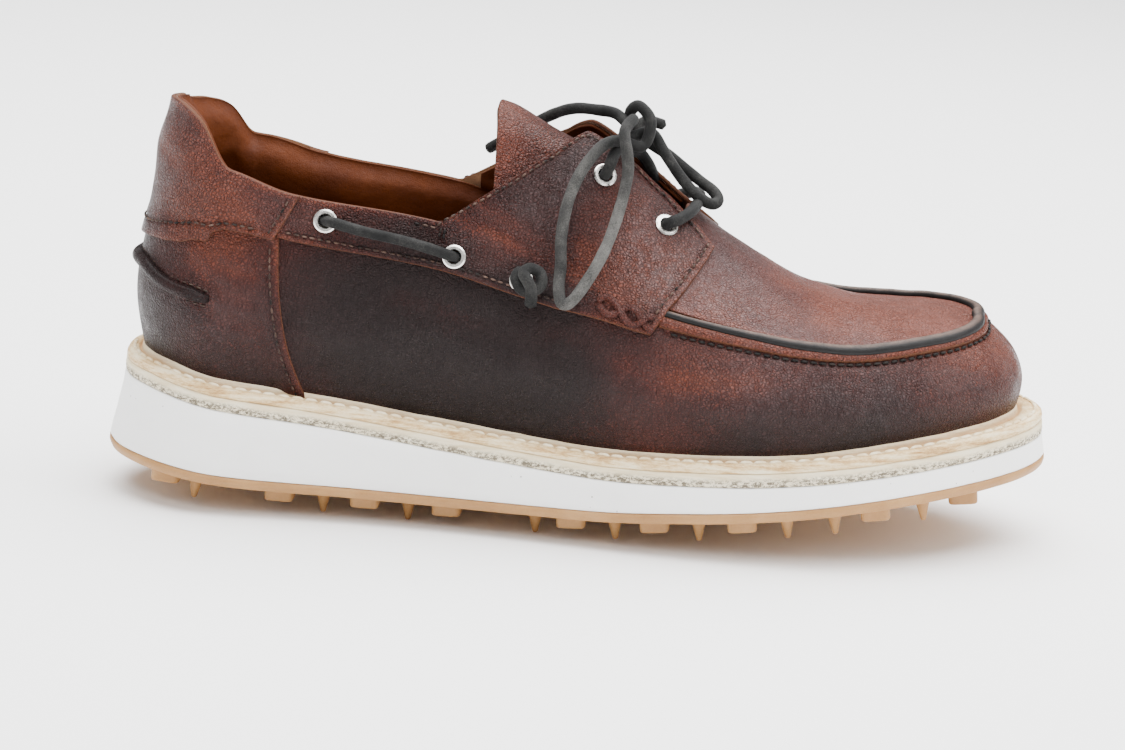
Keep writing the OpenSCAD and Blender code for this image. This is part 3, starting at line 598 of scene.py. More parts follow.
def burnished_leather(name, shift=0.0, pebble=1.0, gloss=0.36, shine=0.26):
    """Pull-up leather: dark wax over red-brown, pebbled, redder where stretched or rubbed."""
    s = Shader(name, Coat_Weight=0.07, Coat_Roughness=0.22, Specular_IOR_Level=shine)
    s.bsdf.inputs["Specular Tint"].default_value = (1.0, 0.80, 0.79, 1)
    skewed = s.warped(260, 0.0016)
    pebbles = s.remap(s.cells(980, skewed), 0.0, 0.26)
    lines = s.remap(s.cells(330, s.warped(140, 0.004)), 0.0, 0.07)
    pores = s.noise(5200, 2.0, 0.6)
    patchy = s.remap(s.noise(38, 3.0), 0.38, 0.66)
    worn = s.attribute("fold")
    tones = s.attribute("tone")
    mottled = s.math("MULTIPLY_ADD", s.noise(70, 6.0, 0.62), 0.50, -0.25)
    flecks = s.math("MULTIPLY_ADD", s.noise(900, 4.0, 0.7), 0.26, -0.13)
    value = s.math("ADD", s.math("ADD", tones, mottled), flecks)
    value = s.math("ADD", value, s.math("MULTIPLY", worn, 0.34))
    rubbed = s.math("MULTIPLY", s.remap(s.attribute("edge"), 3.0, 0.4), 0.30)
    value = s.math("ADD", value, rubbed)
    cracks = s.math("MULTIPLY", s.math("SUBTRACT", 1.0, lines), patchy)
    value = s.math("ADD", value, s.math("MULTIPLY_ADD", cracks, 0.24, shift), clamp=True)
    colour = s.ramp(value, OXBLOOD)
    # Painted sheen: a milky grey highlight mixed into the colour at the sheen spots, broken up by fine noise
    painted_sheen_mask = s.math("MULTIPLY", s.attribute("painted_sheen"), s.remap(s.noise(420, 5.0, 0.7), 0.38, 0.62, 0.25, 1.0))
    colour = s.mix(painted_sheen_mask, colour, (0.20, 0.165, 0.17, 1))
    # Painted shade: the valleys between the pebbles are darkened towards near black; the same mask also
    # roughens them.
    valley = s.math("MULTIPLY", s.math("SUBTRACT", 1.0, pebbles), 0.45 * pebble, clamp=True)
    colour = s.mix(valley, colour, (0.006, 0.003, 0.003, 1))
    matte = s.remap(s.noise(120, 4.0), 0.3, 0.7, gloss - 0.07, gloss + 0.12)
    rough = s.math("ADD", matte, s.math("MULTIPLY", valley, 0.30), clamp=True)
    amount = s.math("MULTIPLY_ADD", patchy, 0.5, 0.5)
    height = s.math("MULTIPLY", pebbles, amount)
    height = s.math("MULTIPLY_ADD", lines, 0.55, height)
    height = s.math("MULTIPLY_ADD", pores, 0.35, height)
    normal = s.bump(height, 1.0, 0.0009 * pebble)
    normal = s.bump(s.noise(190, 5.0, 0.6), 0.7, 0.0014, normal)
    return s.finish(colour, rough, normal)


def cut_edge(name="leather_cut_edge"):
    """The raw fibrous edge of thick leather, tan under a worn brown dye."""
    s = Shader(name, Specular_IOR_Level=0.2)
    fibres = s.noise(1500, 4.0, 0.7)
    colour = s.ramp(fibres, [(0.25, (0.030, 0.010, 0.005)), (0.55, (0.080, 0.026, 0.011)),
                             (0.85, (0.160, 0.062, 0.028))])
    normal = s.bump(fibres, 0.5, 0.0003)
    return s.finish(colour, s.remap(fibres, 0.2, 0.8, 0.6, 0.85), normal)


def smooth_lining(name, light=(0.098, 0.022, 0.0030), dark=(0.060, 0.012, 0.0018)):
    """Caramel calf lining: nearly smooth, with fine pores and soft rubbed patches."""
    s = Shader(name, Specular_IOR_Level=0.12)
    patches = s.noise(42, 6.0, 0.6)
    grain = s.cells(2100, s.warped(500, 0.0006))
    colour = s.mix(s.remap(patches, 0.3, 0.7), (*dark, 1), (*light, 1))
    colour = s.mix(s.math("MULTIPLY", s.remap(grain, 0.16, 0.0), 0.35), colour, (0.03, 0.007, 0.002, 1))
    rough = s.remap(s.noise(160, 4.0), 0.3, 0.7, 0.48, 0.64)
    normal = s.bump(s.remap(grain, 0.0, 0.2), 0.35, 0.00020)
    normal = s.bump(s.noise(240, 5.0), 0.45, 0.0010, normal)
    return s.finish(colour, rough, normal)


def suede(name, colour_low, colour_high):
    """The flesh side of leather, board and other fibrous sheets inside the shoe."""
    s = Shader(name, Sheen_Weight=0.2, Specular_IOR_Level=0.15)
    nap = s.noise(1800, 5.0, 0.7)
    colour = s.mix(s.remap(s.math("MULTIPLY_ADD", s.noise(90, 4.0), 0.6, s.math("MULTIPLY", nap, 0.4)),
                           0.3, 0.7), (*colour_low, 1), (*colour_high, 1))
    return s.finish(colour, s.remap(nap, 0.2, 0.8, 0.75, 0.95), s.bump(nap, 0.45, 0.0003))


def natural_welt(name="natural_welt"):
    """Vegetable-tanned welt leather: cream and honey streaks running round the shoe."""
    s = Shader(name, Specular_IOR_Level=0.3, Coat_Weight=0.05)
    streaks = s.noise(60, 6.0, 0.65, s.stretched((1.0, 1.0, 9.0)))
    fibres = s.noise(1300, 5.0, 0.75, s.stretched((0.5, 0.5, 2.0)))
    value = s.math("MULTIPLY_ADD", streaks, 0.65, s.math("MULTIPLY", fibres, 0.35))
    colour = s.ramp(value, [(0.36, (0.32, 0.17, 0.055)), (0.45, (0.56, 0.36, 0.16)),
                            (0.52, (0.74, 0.57, 0.32)), (0.64, (0.86, 0.76, 0.54))])
    # Painted shade: the groove below the welt's lip is darkened towards brown.
    groove_shade = s.remap(s.attribute("groove"), 0.2, 1.0)
    colour = s.mix(s.math("MULTIPLY", groove_shade, 0.8), colour, (0.42, 0.22, 0.08, 1))
    pale = s.attribute("lip")
    colour = s.mix(s.math("MULTIPLY", pale, 0.75), colour, (0.86, 0.76, 0.58, 1))
    normal = s.bump(fibres, 0.5, 0.00035)
    normal = s.bump(s.noise(420, 4.0), 0.35, 0.0008, normal)
    return s.finish(colour, s.remap(fibres, 0.25, 0.75, 0.5, 0.75), normal)


def sanded_midsole(name="sanded_midsole"):
    """The sanded edge of the leather midsole: honey above, grey fibrous specks below."""
    s = Shader(name, Specular_IOR_Level=0.25)
    height = s.attribute("rise")
    streaks = s.noise(70, 6.0, 0.65, s.stretched((1.0, 1.0, 8.0)))
    colour = s.ramp(streaks, [(0.25, (0.60, 0.46, 0.26)), (0.50, (0.76, 0.65, 0.44)),
                              (0.75, (0.85, 0.78, 0.60))])
    specks = s.noise(850, 6.0, 0.85, s.stretched((0.7, 0.7, 1.2)))
    low = s.remap(s.math("MULTIPLY_ADD", s.noise(50, 4.0), 0.5, height), 1.0, 0.55)
    mask = s.math("MULTIPLY", s.remap(specks, 0.46, 0.53), low)
    colour = s.mix(s.math("MULTIPLY", low, 0.5), colour, (0.76, 0.70, 0.56, 1))
    colour = s.mix(s.math("MULTIPLY", mask, 0.92), colour, (0.085, 0.065, 0.042, 1))
    normal = s.bump(specks, 0.55, 0.0004)
    return s.finish(colour, s.remap(specks, 0.3, 0.7, 0.6, 0.85), normal)


def foam_rubber(name="white_foam"):
    """Off-white foam rubber: fine skin, rare dark specks, faint smudges."""
    s = Shader(name, Specular_IOR_Level=0.25)
    specks = s.cells(260, feature="F1")
    dots = s.math("MULTIPLY", s.remap(specks, 0.085, 0.05), s.remap(s.noise(110, 2.0), 0.52, 0.60))
    smudge = s.remap(s.noise(45, 5.0), 0.45, 0.75)
    colour = s.mix(s.math("MULTIPLY", smudge, 0.35), (0.96, 0.955, 0.94, 1), (0.86, 0.85, 0.82, 1))
    colour = s.mix(s.math("MULTIPLY", dots, 0.75), colour, (0.16, 0.13, 0.10, 1))
    grain = s.noise(2600, 3.0, 0.7)
    normal = s.bump(grain, 0.35, 0.00022)
    normal = s.bump(s.noise(150, 3.0), 0.15, 0.0012, normal)
    return s.finish(colour, s.remap(grain, 0.3, 0.7, 0.55, 0.75), normal)


def gum_rubber(name="gum_rubber"):
    """Gum rubber: honey tan, slightly waxy, with cloudy and fine colour variation."""
    s = Shader(name, Specular_IOR_Level=0.4, Subsurface_Weight=0.08)
    s.bsdf.inputs["Subsurface Radius"].default_value = (0.004, 0.002, 0.001)
    s.bsdf.inputs["Subsurface Scale"].default_value = 0.4
    clouds = s.noise(60, 5.0, 0.6)
    fine = s.noise(1400, 4.0, 0.7)
    colour = s.ramp(s.math("MULTIPLY_ADD", clouds, 0.7, s.math("MULTIPLY", fine, 0.3)),
                    [(0.30, (0.28, 0.135, 0.040)), (0.55, (0.38, 0.20, 0.070)), (0.80, (0.48, 0.28, 0.115))])
    return s.finish(colour, s.remap(fine, 0.3, 0.7, 0.42, 0.62), s.bump(fine, 0.3, 0.0003))


def lace_cotton(name="lace_cotton"):
    """Round waxed charcoal lace: tight cover, dusty fuzz and paler runs, with a painted highlight on the
    free ends' loops on the lateral side.
    """
    s = Shader(name, Sheen_Weight=0.06, Sheen_Roughness=0.5, Specular_IOR_Level=0.12)
    s.bsdf.inputs["Sheen Tint"].default_value = (0.7, 0.7, 0.7, 1)
    fuzz = s.noise(2400, 5.0, 0.75)
    runs = s.noise(110, 4.0, 0.6)
    value = s.math("MULTIPLY_ADD", runs, 0.5, s.math("MULTIPLY", fuzz, 0.5))
    # Painted highlight: lifts the lace's colour on the free ends' loops on the lateral side.
    value = s.math("MULTIPLY_ADD", s.attribute("painted_lace_highlight"), 0.22, value)
    colour = s.ramp(value, [(0.36, (0.0035, 0.0035, 0.0037)), (0.50, (0.0110, 0.0110, 0.0108)),
                            (0.64, (0.0400, 0.0390, 0.0370)), (0.86, (0.150, 0.145, 0.135))])
    strands = s.node("ShaderNodeTexWave", wave_type="BANDS", bands_direction="X", wave_profile="SIN")
    turned = s.node("ShaderNodeCombineXYZ")
    s.link(s.math("MULTIPLY_ADD", s.attribute("turn"), 6.0, s.math("MULTIPLY", s.attribute("run"), 0.9)),
           turned.inputs[0])
    s.link(turned.outputs[0], strands.inputs["Vector"])
    strands.inputs["Scale"].default_value = 0.5
    weave = s.math("MULTIPLY_ADD", strands.outputs["Fac"], 0.5, fuzz)
    return s.finish(colour, s.remap(fuzz, 0.3, 0.7, 0.62, 0.85), s.bump(weave, 0.45, 0.00025))


def edge_piping(name="edge_piping"):
    """The black waxed edge band round the toe seam, paler grey-brown on top: partly wear, partly painted top
    light.
    """
    s = Shader(name, Coat_Weight=0.04, Coat_Roughness=0.3, Specular_IOR_Level=0.22)
    scuffs = s.noise(240, 6.0, 0.7)
    fine = s.noise(1700, 4.0, 0.7)
    colour = s.ramp(s.math("MULTIPLY_ADD", scuffs, 0.6, s.math("MULTIPLY", fine, 0.4)),
                    [(0.35, (0.0025, 0.0022, 0.0022)), (0.58, (0.0070, 0.0060, 0.0060)),
                     (0.80, (0.040, 0.034, 0.030))])
    # Wear and painted top light: the band's upper face is mixed towards a paler grey-brown in scuffed
    # patches.
    worn = s.math("MULTIPLY", s.remap(s.attribute("top"), 0.45, 0.95), s.remap(scuffs, 0.3, 0.62, 0.25, 0.9))
    colour = s.mix(worn, colour, (0.105, 0.062, 0.045, 1))
    return s.finish(colour, s.remap(fine, 0.3, 0.7, 0.40, 0.62), s.bump(fine, 0.4, 0.0003))


def nickel(name="brushed_nickel"):
    s = Shader(name, Metallic=1.0)
    scratches = s.noise(900, 6.0, 0.7)
    dull = s.noise(120, 3.0)
    colour = s.mix(s.remap(dull, 0.35, 0.7), (0.82, 0.80, 0.76, 1), (0.66, 0.64, 0.60, 1))
    return s.finish(colour, s.remap(scratches, 0.3, 0.7, 0.20, 0.36), s.bump(scratches, 0.12, 0.0001))


def steel(name="spring_steel"):
    s = Shader(name, Metallic=1.0)
    grain = s.noise(700, 5.0, 0.7, s.stretched((0.2, 4.0, 4.0)))
    colour = s.mix(s.remap(grain, 0.3, 0.7), (0.40, 0.42, 0.45, 1), (0.58, 0.60, 0.62, 1))
    return s.finish(colour, s.remap(grain, 0.3, 0.7, 0.30, 0.48), s.bump(grain, 0.2, 0.0001))


def cork(name="ground_cork"):
    s = Shader(name, Specular_IOR_Level=0.2)
    grains = s.cells(420, s.warped(300, 0.001), "F1")
    dark = s.remap(s.noise(700, 3.0), 0.55, 0.68)
    colour = s.mix(s.remap(grains, 0.15, 0.6), (0.42, 0.24, 0.11, 1), (0.27, 0.135, 0.055, 1))
    colour = s.mix(s.math("MULTIPLY", dark, 0.8), colour, (0.06, 0.028, 0.012, 1))
    return s.finish(colour, s.remap(grains, 0.1, 0.6, 0.75, 0.9), s.bump(grains, 0.5, 0.0006))


def thread(name, low, high):
    """Waxed thread: plied bumps and a soft shine, varying from stitch to stitch."""
    s = Shader(name, Specular_IOR_Level=0.2)
    plies = s.noise(3600, 3.0, 0.6)
    colour = s.mix(s.remap(s.noise(260, 4.0), 0.35, 0.65), (*low, 1), (*high, 1))
    return s.finish(colour, s.remap(plies, 0.3, 0.7, 0.45, 0.65), s.bump(plies, 0.5, 0.0002))


def make_materials():
    return {
        "dark_leather": burnished_leather("oxblood_wall", 0.0, 1.0, 0.36, 0.24),
        "counter_leather": burnished_leather("oxblood_counter", 0.10, 1.0),
        "red_leather": burnished_leather("oxblood_overlay", 0.06, 1.1, 0.33),
        "plug_leather": burnished_leather("oxblood_plug", 0.07, 0.65, 0.38, 0.32),
        "bead_leather": burnished_leather("oxblood_bead", -0.16, 0.9, 0.42, 0.16),
        "braid_leather": burnished_leather("oxblood_braid", 0.05, 0.9),
        "cut_edge": cut_edge(),
        "flesh": suede("leather_flesh_side", (0.20, 0.095, 0.045), (0.36, 0.19, 0.10)),
        "lining": smooth_lining("calf_lining"),
        "footbed": smooth_lining("footbed_calf", (0.17, 0.055, 0.014), (0.09, 0.026, 0.006)),
        "board": suede("insole_board_fibre", (0.36, 0.23, 0.12), (0.55, 0.38, 0.22)),
        "stiffener": suede("stiffener_fibre", (0.55, 0.46, 0.34), (0.70, 0.62, 0.48)),
        "foam_pad": suede("collar_foam", (0.62, 0.58, 0.42), (0.78, 0.74, 0.58)),
        "welt": natural_welt(),
        "midsole": sanded_midsole(),
        "foam": foam_rubber(),
        "gum": gum_rubber(),
        "lace": lace_cotton(),
        "piping": edge_piping(),
        "nickel": nickel(),
        "steel": steel(),
        "cork": cork(),
        "dark_thread": thread("waxed_brown_thread", (0.004, 0.0024, 0.002), (0.095, 0.056, 0.042)),
        "grey_thread": thread("waxed_grey_thread", (0.012, 0.008, 0.006), (0.070, 0.045, 0.034)),
        "black_thread": thread("waxed_black_thread", (0.003, 0.0024, 0.0022), (0.014, 0.009, 0.007)),
        "cream_thread": thread("waxed_cream_thread", (0.72, 0.56, 0.33), (0.88, 0.77, 0.55)),
    }


# ---------------------------------------------------------------- mesh building


def piece(name, points, faces, materials, picks=None, values=None, body="shoe", stands_for=()):
    """A named mesh piece from points in mm, riding on its CAD body."""
    mesh = bpy.data.meshes.new(name)
    mesh.from_pydata((np.asarray(points).reshape(-1, 3) * MM).tolist(), [], faces)
    for material in materials:
        mesh.materials.append(material)
    if picks is not None:
        mesh.polygons.foreach_set("material_index", picks)
    mesh.polygons.foreach_set("use_smooth", [True] * len(faces))
    for key, value in (values or {}).items():
        mesh.attributes.new(key, "FLOAT", "POINT").data.foreach_set("value", np.ravel(value))
    mesh.update()
    made = bpy.data.objects.new(name, mesh)
    bpy.context.scene.collection.objects.link(made)
    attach(made, body)
    if stands_for:
        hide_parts(*stands_for)
    return made


def grid_faces(first, rows, columns, flip=False):
    i, j = np.meshgrid(np.arange(rows - 1), np.arange(columns - 1), indexing="ij")
    a = (first + i * columns + j).ravel()
    quads = np.stack([a, a + columns, a + columns + 1, a + 1], -1)
    return (quads[:, ::-1] if flip else quads).tolist()


def skirt_faces(rows, columns):
    """Faces joining the borders of an outer grid and the inner grid stored after it."""
    half = rows * columns
    top = [i * columns for i in range(rows)]
    end = [(rows - 1) * columns + j for j in range(1, columns)]
    back = [i * columns + columns - 1 for i in range(rows - 2, -1, -1)]
    start = [j for j in range(columns - 2, 0, -1)]
    loop = top + end + back + start
    return [(a, a + half, b + half, b) for a, b in zip(loop, loop[1:] + loop[:1])]


EDGE_STEPS = np.array([0.0, 0.12, 0.32, 0.62, 1.0])


def spaced(length, round_mm, count):
    """Positions 0 to 1 with extra samples at the rounded edges of a side this long."""
    rim = EDGE_STEPS * round_mm / length
    inner = np.linspace(0, 1, count)[1:-1] * (1 - 2 * rim[-1]) + rim[-1]
    return np.concatenate([rim, inner, 1 - rim[::-1]])


def lengths_across(place, frame, values, along_a=False):
    """Length in mm of a panel's line at each value: from b 0 to 1, or from a 0 to 1."""
    fixed, t = np.meshgrid(values, np.linspace(0, 1, 25), indexing="ij")
    a, b = (t, fixed) if along_a else (fixed, t)
    point, _ = frame(*place(a.ravel(), b.ravel()))
    point = point.reshape(*fixed.shape, 3)
    return np.linalg.norm(np.diff(point, axis=1), axis=-1).sum(1)


def as_height(value, p, q):
    return value(p, q) if callable(value) else np.full(np.shape(p), float(value))


def panel_grid(place, frame, spacing, round_mm):
    """Stations and levels of a panel's grid, its rows along a and its columns along b."""
    length_a = np.mean(lengths_across(place, frame, [0.0, 0.5, 1.0], along_a=True))
    a = spaced(length_a, round_mm, max(4, int(length_a / spacing)))
    lengths = lengths_across(place, frame, a)
    count = max(4, int(lengths.max() / spacing))
    b = np.array([spaced(max(length, 3 * round_mm), round_mm, count) for length in lengths])
    a = np.repeat(a[:, None], b.shape[1], 1)
    p, q = place(a.ravel(), b.ravel())
    return p.reshape(a.shape), q.reshape(a.shape)


def panel(name, place, inner, outer, materials, frame=skin_frame, spacing=0.9, round_mm=0.7,
          seams=(), holes=(), body="shoe", stands_for=(), worn=True, tone_shift=0.0):
    """A leather panel: rounded cut edges, worn relief, sewn-in seams and punched holes."""
    p, q = panel_grid(place, frame, spacing, round_mm)
    point, out = frame(p, q)
    rough = relief(point) if worn else np.zeros(p.shape)
    top = as_height(outer, p, q)
    low = as_height(inner, p, q)
    rows, columns = p.shape
    border = np.zeros(p.shape, bool)
    border[[0, -1], :] = True
    border[:, [0, -1]] = True
    surface = point + out * (top + rough)[..., None]
    edge = distances(surface, tree_of(surface[border]))
    inside = np.clip(round_mm - edge, 0, round_mm)
    drop = round_mm - np.sqrt(round_mm**2 - inside**2)
    drop = np.minimum(drop, 0.8 * (top - low))
    for run in seams:
        drop = drop + 0.42 * np.exp(-((distances(surface, tree_of(run)) / 0.75) ** 2))
    outer_points = surface - out * drop[..., None]
    inner_points = point + out * (low + rough)[..., None]
    faces = grid_faces(0, rows, columns) + grid_faces(rows * columns, rows, columns, True)
    inner_from = len(faces) // 2
    skirt = skirt_faces(rows, columns)
    picks = np.concatenate([np.zeros(inner_from), np.full(inner_from, 2), np.full(len(skirt), 1)])
    picks = picks.astype(int)
    ring = np.ravel(edge < 0.2 * round_mm)
    outer_faces = np.array(faces[:inner_from])
    picks[:inner_from][ring[outer_faces].sum(1) >= 2] = 1
    if len(holes):
        centres = np.ravel(point)[: 3 * rows * columns].reshape(-1, 3)[outer_faces].mean(1)
        clear = np.min(np.linalg.norm(centres[:, None] - np.asarray(holes), axis=-1), axis=1) > 2.7
        keep = np.concatenate([clear, clear, np.ones(len(skirt), bool)])
    else:
        keep = np.ones(len(picks), bool)
    faces = [f for f, kept in zip(faces + skirt, keep) if kept]
    fold_depth = folds_at(point) if worn else np.zeros(p.shape)
    values = {
        "tone": np.tile(np.ravel(np.clip(tone(point) + tone_shift, 0, 1)), 2),
        "edge": np.tile(np.ravel(edge), 2),
        "fold": np.tile(np.ravel(np.clip(fold_depth, 0, 1)), 2),
        # painted sheen spots, mixed into the leather's colour as a milky highlight
        "painted_sheen": np.tile(np.ravel(blobs(point, PAINTED_SHEEN_CENTRES)), 2),
    }
    return piece(name, np.concatenate([outer_points.reshape(-1, 3), inner_points.reshape(-1, 3)]),
                 faces, materials, picks[keep], values, body, stands_for)


def resampled(points, spacing):
    points = np.asarray(points, float)
    lengths = np.concatenate([[0], np.cumsum(np.linalg.norm(np.diff(points, axis=0), axis=1))])
    t = np.linspace(0, lengths[-1], max(2, int(round(lengths[-1] / spacing)) + 1))
    return np.stack([np.interp(t, lengths, points[:, k]) for k in range(points.shape[1])], -1)


def flowing(points, per_span=12):
    """A smooth line through the points."""
    p = np.asarray(points, float)
    p = np.concatenate([[2 * p[0] - p[1]], p, [2 * p[-1] - p[-2]]])
    out = []
    for i in range(1, len(p) - 2):
        t = np.linspace(0, 1, per_span, endpoint=False)[:, None]
        a, b, c, d = p[i - 1], p[i], p[i + 1], p[i + 2]
        out.append(0.5 * (2 * b + (c - a) * t + (2 * a - 5 * b + 4 * c - d) * t**2
                          + (3 * b - a - 3 * c + d) * t**3))
    return np.concatenate(out + [p[-2:-1]])


def travelling_frames(line):
    """Two directions across the line at each point, turning as little as they can."""
    heading = unit(np.gradient(line, axis=0))
    first = np.array([0.0, 0, 1]) if abs(heading[0][2]) < 0.9 else np.array([1.0, 0, 0])
    sides = []
    side = first
    for t in heading:
        side = side - t * (side @ t)
        side = side / np.linalg.norm(side)
        sides.append(side)
    sides = np.array(sides)
    return sides, np.cross(heading, sides)


def tube_mesh(line, radius, sides=14, flatten=1.0, across_hint=None):
    """Points, faces and values of a round-ended tube along a dense line."""
    n = len(line)
    if across_hint is None:
        one, two = travelling_frames(line)
    else:
        heading = unit(np.gradient(line, axis=0))
        one = unit(across_hint - heading * np.sum(across_hint * heading, 1, keepdims=True))
        two = np.cross(heading, one)
    run = np.concatenate([[0], np.cumsum(np.linalg.norm(np.diff(line, axis=0), axis=1))])
    radius = np.broadcast_to(np.asarray(radius, float), (n,)).copy()
    cap = np.minimum(run, run[-1] - run)
    reach = np.clip(1 - cap / (0.7 * radius), 0, 1)
    radius = radius * np.sqrt(np.maximum(1 - reach**2, 0.02))
    angle = np.linspace(0, 2 * np.pi, sides, endpoint=False)
    ring = (one[:, None] * (flatten * np.cos(angle))[None, :, None]
            + two[:, None] * np.sin(angle)[None, :, None]) * radius[:, None, None]
    points = (line[:, None] + ring).reshape(-1, 3)
    i, k = np.meshgrid(np.arange(n - 1), np.arange(sides), indexing="ij")
    a = (i * sides + k).ravel()
    b = (i * sides + (k + 1) % sides).ravel()
    faces = np.stack([a, b, b + sides, a + sides], -1).tolist()
    faces.append(list(range(sides))[::-1])
    faces.append(list(range((n - 1) * sides, n * sides)))
    values = {"turn": np.tile(angle / (2 * np.pi), n), "run": np.repeat(run, sides)}
    return points, faces, values


def merged(meshes):
    """One set of points, faces and values from several."""
    points, faces, values = [], [], {}
    for p, f, v in meshes:
        first = sum(len(x) for x in points)
        points.append(p)
        faces.extend([[first + k for k in face] for face in f])
        for key, value in v.items():
            values.setdefault(key, []).append(value)
    return np.concatenate(points), faces, {k: np.concatenate(v) for k, v in values.items()}


def fuzzy(line, radius, depth=0.10, seed=0.0):
    """A radius that swells and pinches a little along the line."""
    return radius * (1 + depth * noise_field(line, 5.0, seed))


# ---------------------------------------------------------------- stitches


def stitch_run(frame, knots, height, smooth_line=True):
    """A dense line on the worn surface through (station, level) knots, with its normals."""
    dense = flowing(knots, 20) if smooth_line else route_points(knots, 200)
    point, out = laid(frame, dense[:, 0], dense[:, 1], np.full(len(dense), float(height)))
    joined = resampled(np.concatenate([point, out], 1), 0.25)
    return joined[:, :3], unit(joined[:, 3:])


def stitch_meshes(line, normals, pitch, length, radius, lift):
    """Short plied stitches along a line: each arches over the leather between two holes."""
    step = np.linalg.norm(np.diff(line, axis=0), axis=1).mean()
    half = max(2, int(round(length / step / 2)))
    meshes = []
    position = pitch / 2
    total = step * (len(line) - 1)
    while position < total - pitch / 2:
        centre = int(round(position / step))
        lo, hi = max(0, centre - half), min(len(line) - 1, centre + half)
        pick = np.linspace(lo, hi, 6).round().astype(int)
        t = np.linspace(-1, 1, 6)
        arch = lift * (1 - t**2) - 0.45 * radius
        wobble = 0.05 * radius * math.sin(7.1 * position)
        path = line[pick] + normals[pick] * (arch + wobble)[:, None]
        meshes.append(tube_mesh(path, radius, 6))
        position += pitch
    return meshes


def stitches(name, runs, material, pitch=2.9, length=2.3, radius=0.33, lift=0.30, body="shoe"):
    meshes = []
    for line, normals in runs:
        meshes += stitch_meshes(line, normals, pitch, length, radius, lift)
    points, faces, values = merged(meshes)
    return piece(name, points, faces, [material], values=values, body=body)


def mirrored(knots):
    return [(6 - u, w) for u, w in knots]


# ---------------------------------------------------------------- cords: the two free lace ends


def lace_route(route):
    return resampled(flowing(route), 0.8)


def make_free_lace(name, node, route, materials):
    line = lace_route(route)
    points, faces, values = tube_mesh(line, fuzzy(line, LACE_D / 2, 0.07), 16)
    # Painted highlight on the loops standing out on the lateral side, read by the lace material.
    values["painted_lace_highlight"] = np.repeat(smooth(-line[:, 1], 20, 34) * (0.55 + 0.45 * smooth(line[:, 0], -5, 6)), 16)
    lace = piece(name, points, faces, [materials["lace"]], values=values, stands_for=[node])
    return lace


def make_free_laces(materials):
    make_free_lace("lace_end_lateral", "lateral_lace_end", LATERAL_END_ROUTE, materials)
    make_free_lace("lace_end_medial", "medial_lace_end", MEDIAL_END_ROUTE, materials)


def make_throat_lacing(materials):
    line = lace_route(THROAT_ROUTE)
    points, faces, values = tube_mesh(line, fuzzy(line, LACE_D / 2, 0.07, 4.0), 16)
    piece("lace_through_throat", points, faces, [materials["lace"]], values=values,
          stands_for=["throat_lacing"])


def side_lace_line():
    knots = np.array(SIDE_ROUTE)
    full = np.concatenate([np.stack([6 - knots[:0:-1, 0], knots[:0:-1, 1], knots[:0:-1, 2]], 1), knots])
    full[: len(knots) - 1, 0] -= 6
    dense = flowing(full, 14)
    point, out = skin_frame(dense[:, 0], dense[:, 1])
    return resampled(point + out * dense[:, 2:], 0.8)


def make_side_lace(materials):
    line = side_lace_line()
    points, faces, values = tube_mesh(line, fuzzy(line, LACE_D / 2 - 0.1, 0.06, 8.0), 14)
    piece("lace_round_collar", points, faces, [materials["lace"]], values=values,
          stands_for=["side_lace"])


# An overhand knot seen from outside: x forward, y up the shoe, z out of the eyelet, in mm
KNOT_ROUTE = [(0, 0, -3.4), (0.4, 0.5, -1.0), (-0.2, 2.4, 0.8), (-1.2, 0.2, 1.9), (0.4, -2.9, 2.3),
              (3.8, -3.8, 2.1), (6.9, -1.4, 1.9), (6.3, 2.2, 2.1), (3.2, 3.4, 2.9), (1.5, 1.6, 4.5),
              (2.8, -0.6, 5.5), (4.0, -2.8, 4.7), (4.3, -5.8, 3.3), (4.0, -9.2, 2.8)]


def make_side_knots(materials):
    u, w = SIDE_HOLES[2]
    meshes = []
    for side, station in ((1, u), (-1, 6 - u)):
        point, out = skin_frame(np.array(station), np.array(w))
        up = base(station, w + 0.02) - base(station, w - 0.02)
        up = unit(up - out * (up @ out))
        forward = np.cross(up, out) * side
        local = flowing(KNOT_ROUTE, 14)
        line = point + out * (OVERLAY_OUT + 2.2)
        line = line + forward * local[:, :1] + up * local[:, 1:2] + out * local[:, 2:]
        line = resampled(line, 0.5)
        meshes.append(tube_mesh(line, fuzzy(line, LACE_D / 2, 0.07, 2.0), 14))
    points, faces, values = merged(meshes)
    piece("lace_knots", points, faces, [materials["lace"]], values=values,
          stands_for=["side_lace_knots"])


# ---------------------------------------------------------------- sole


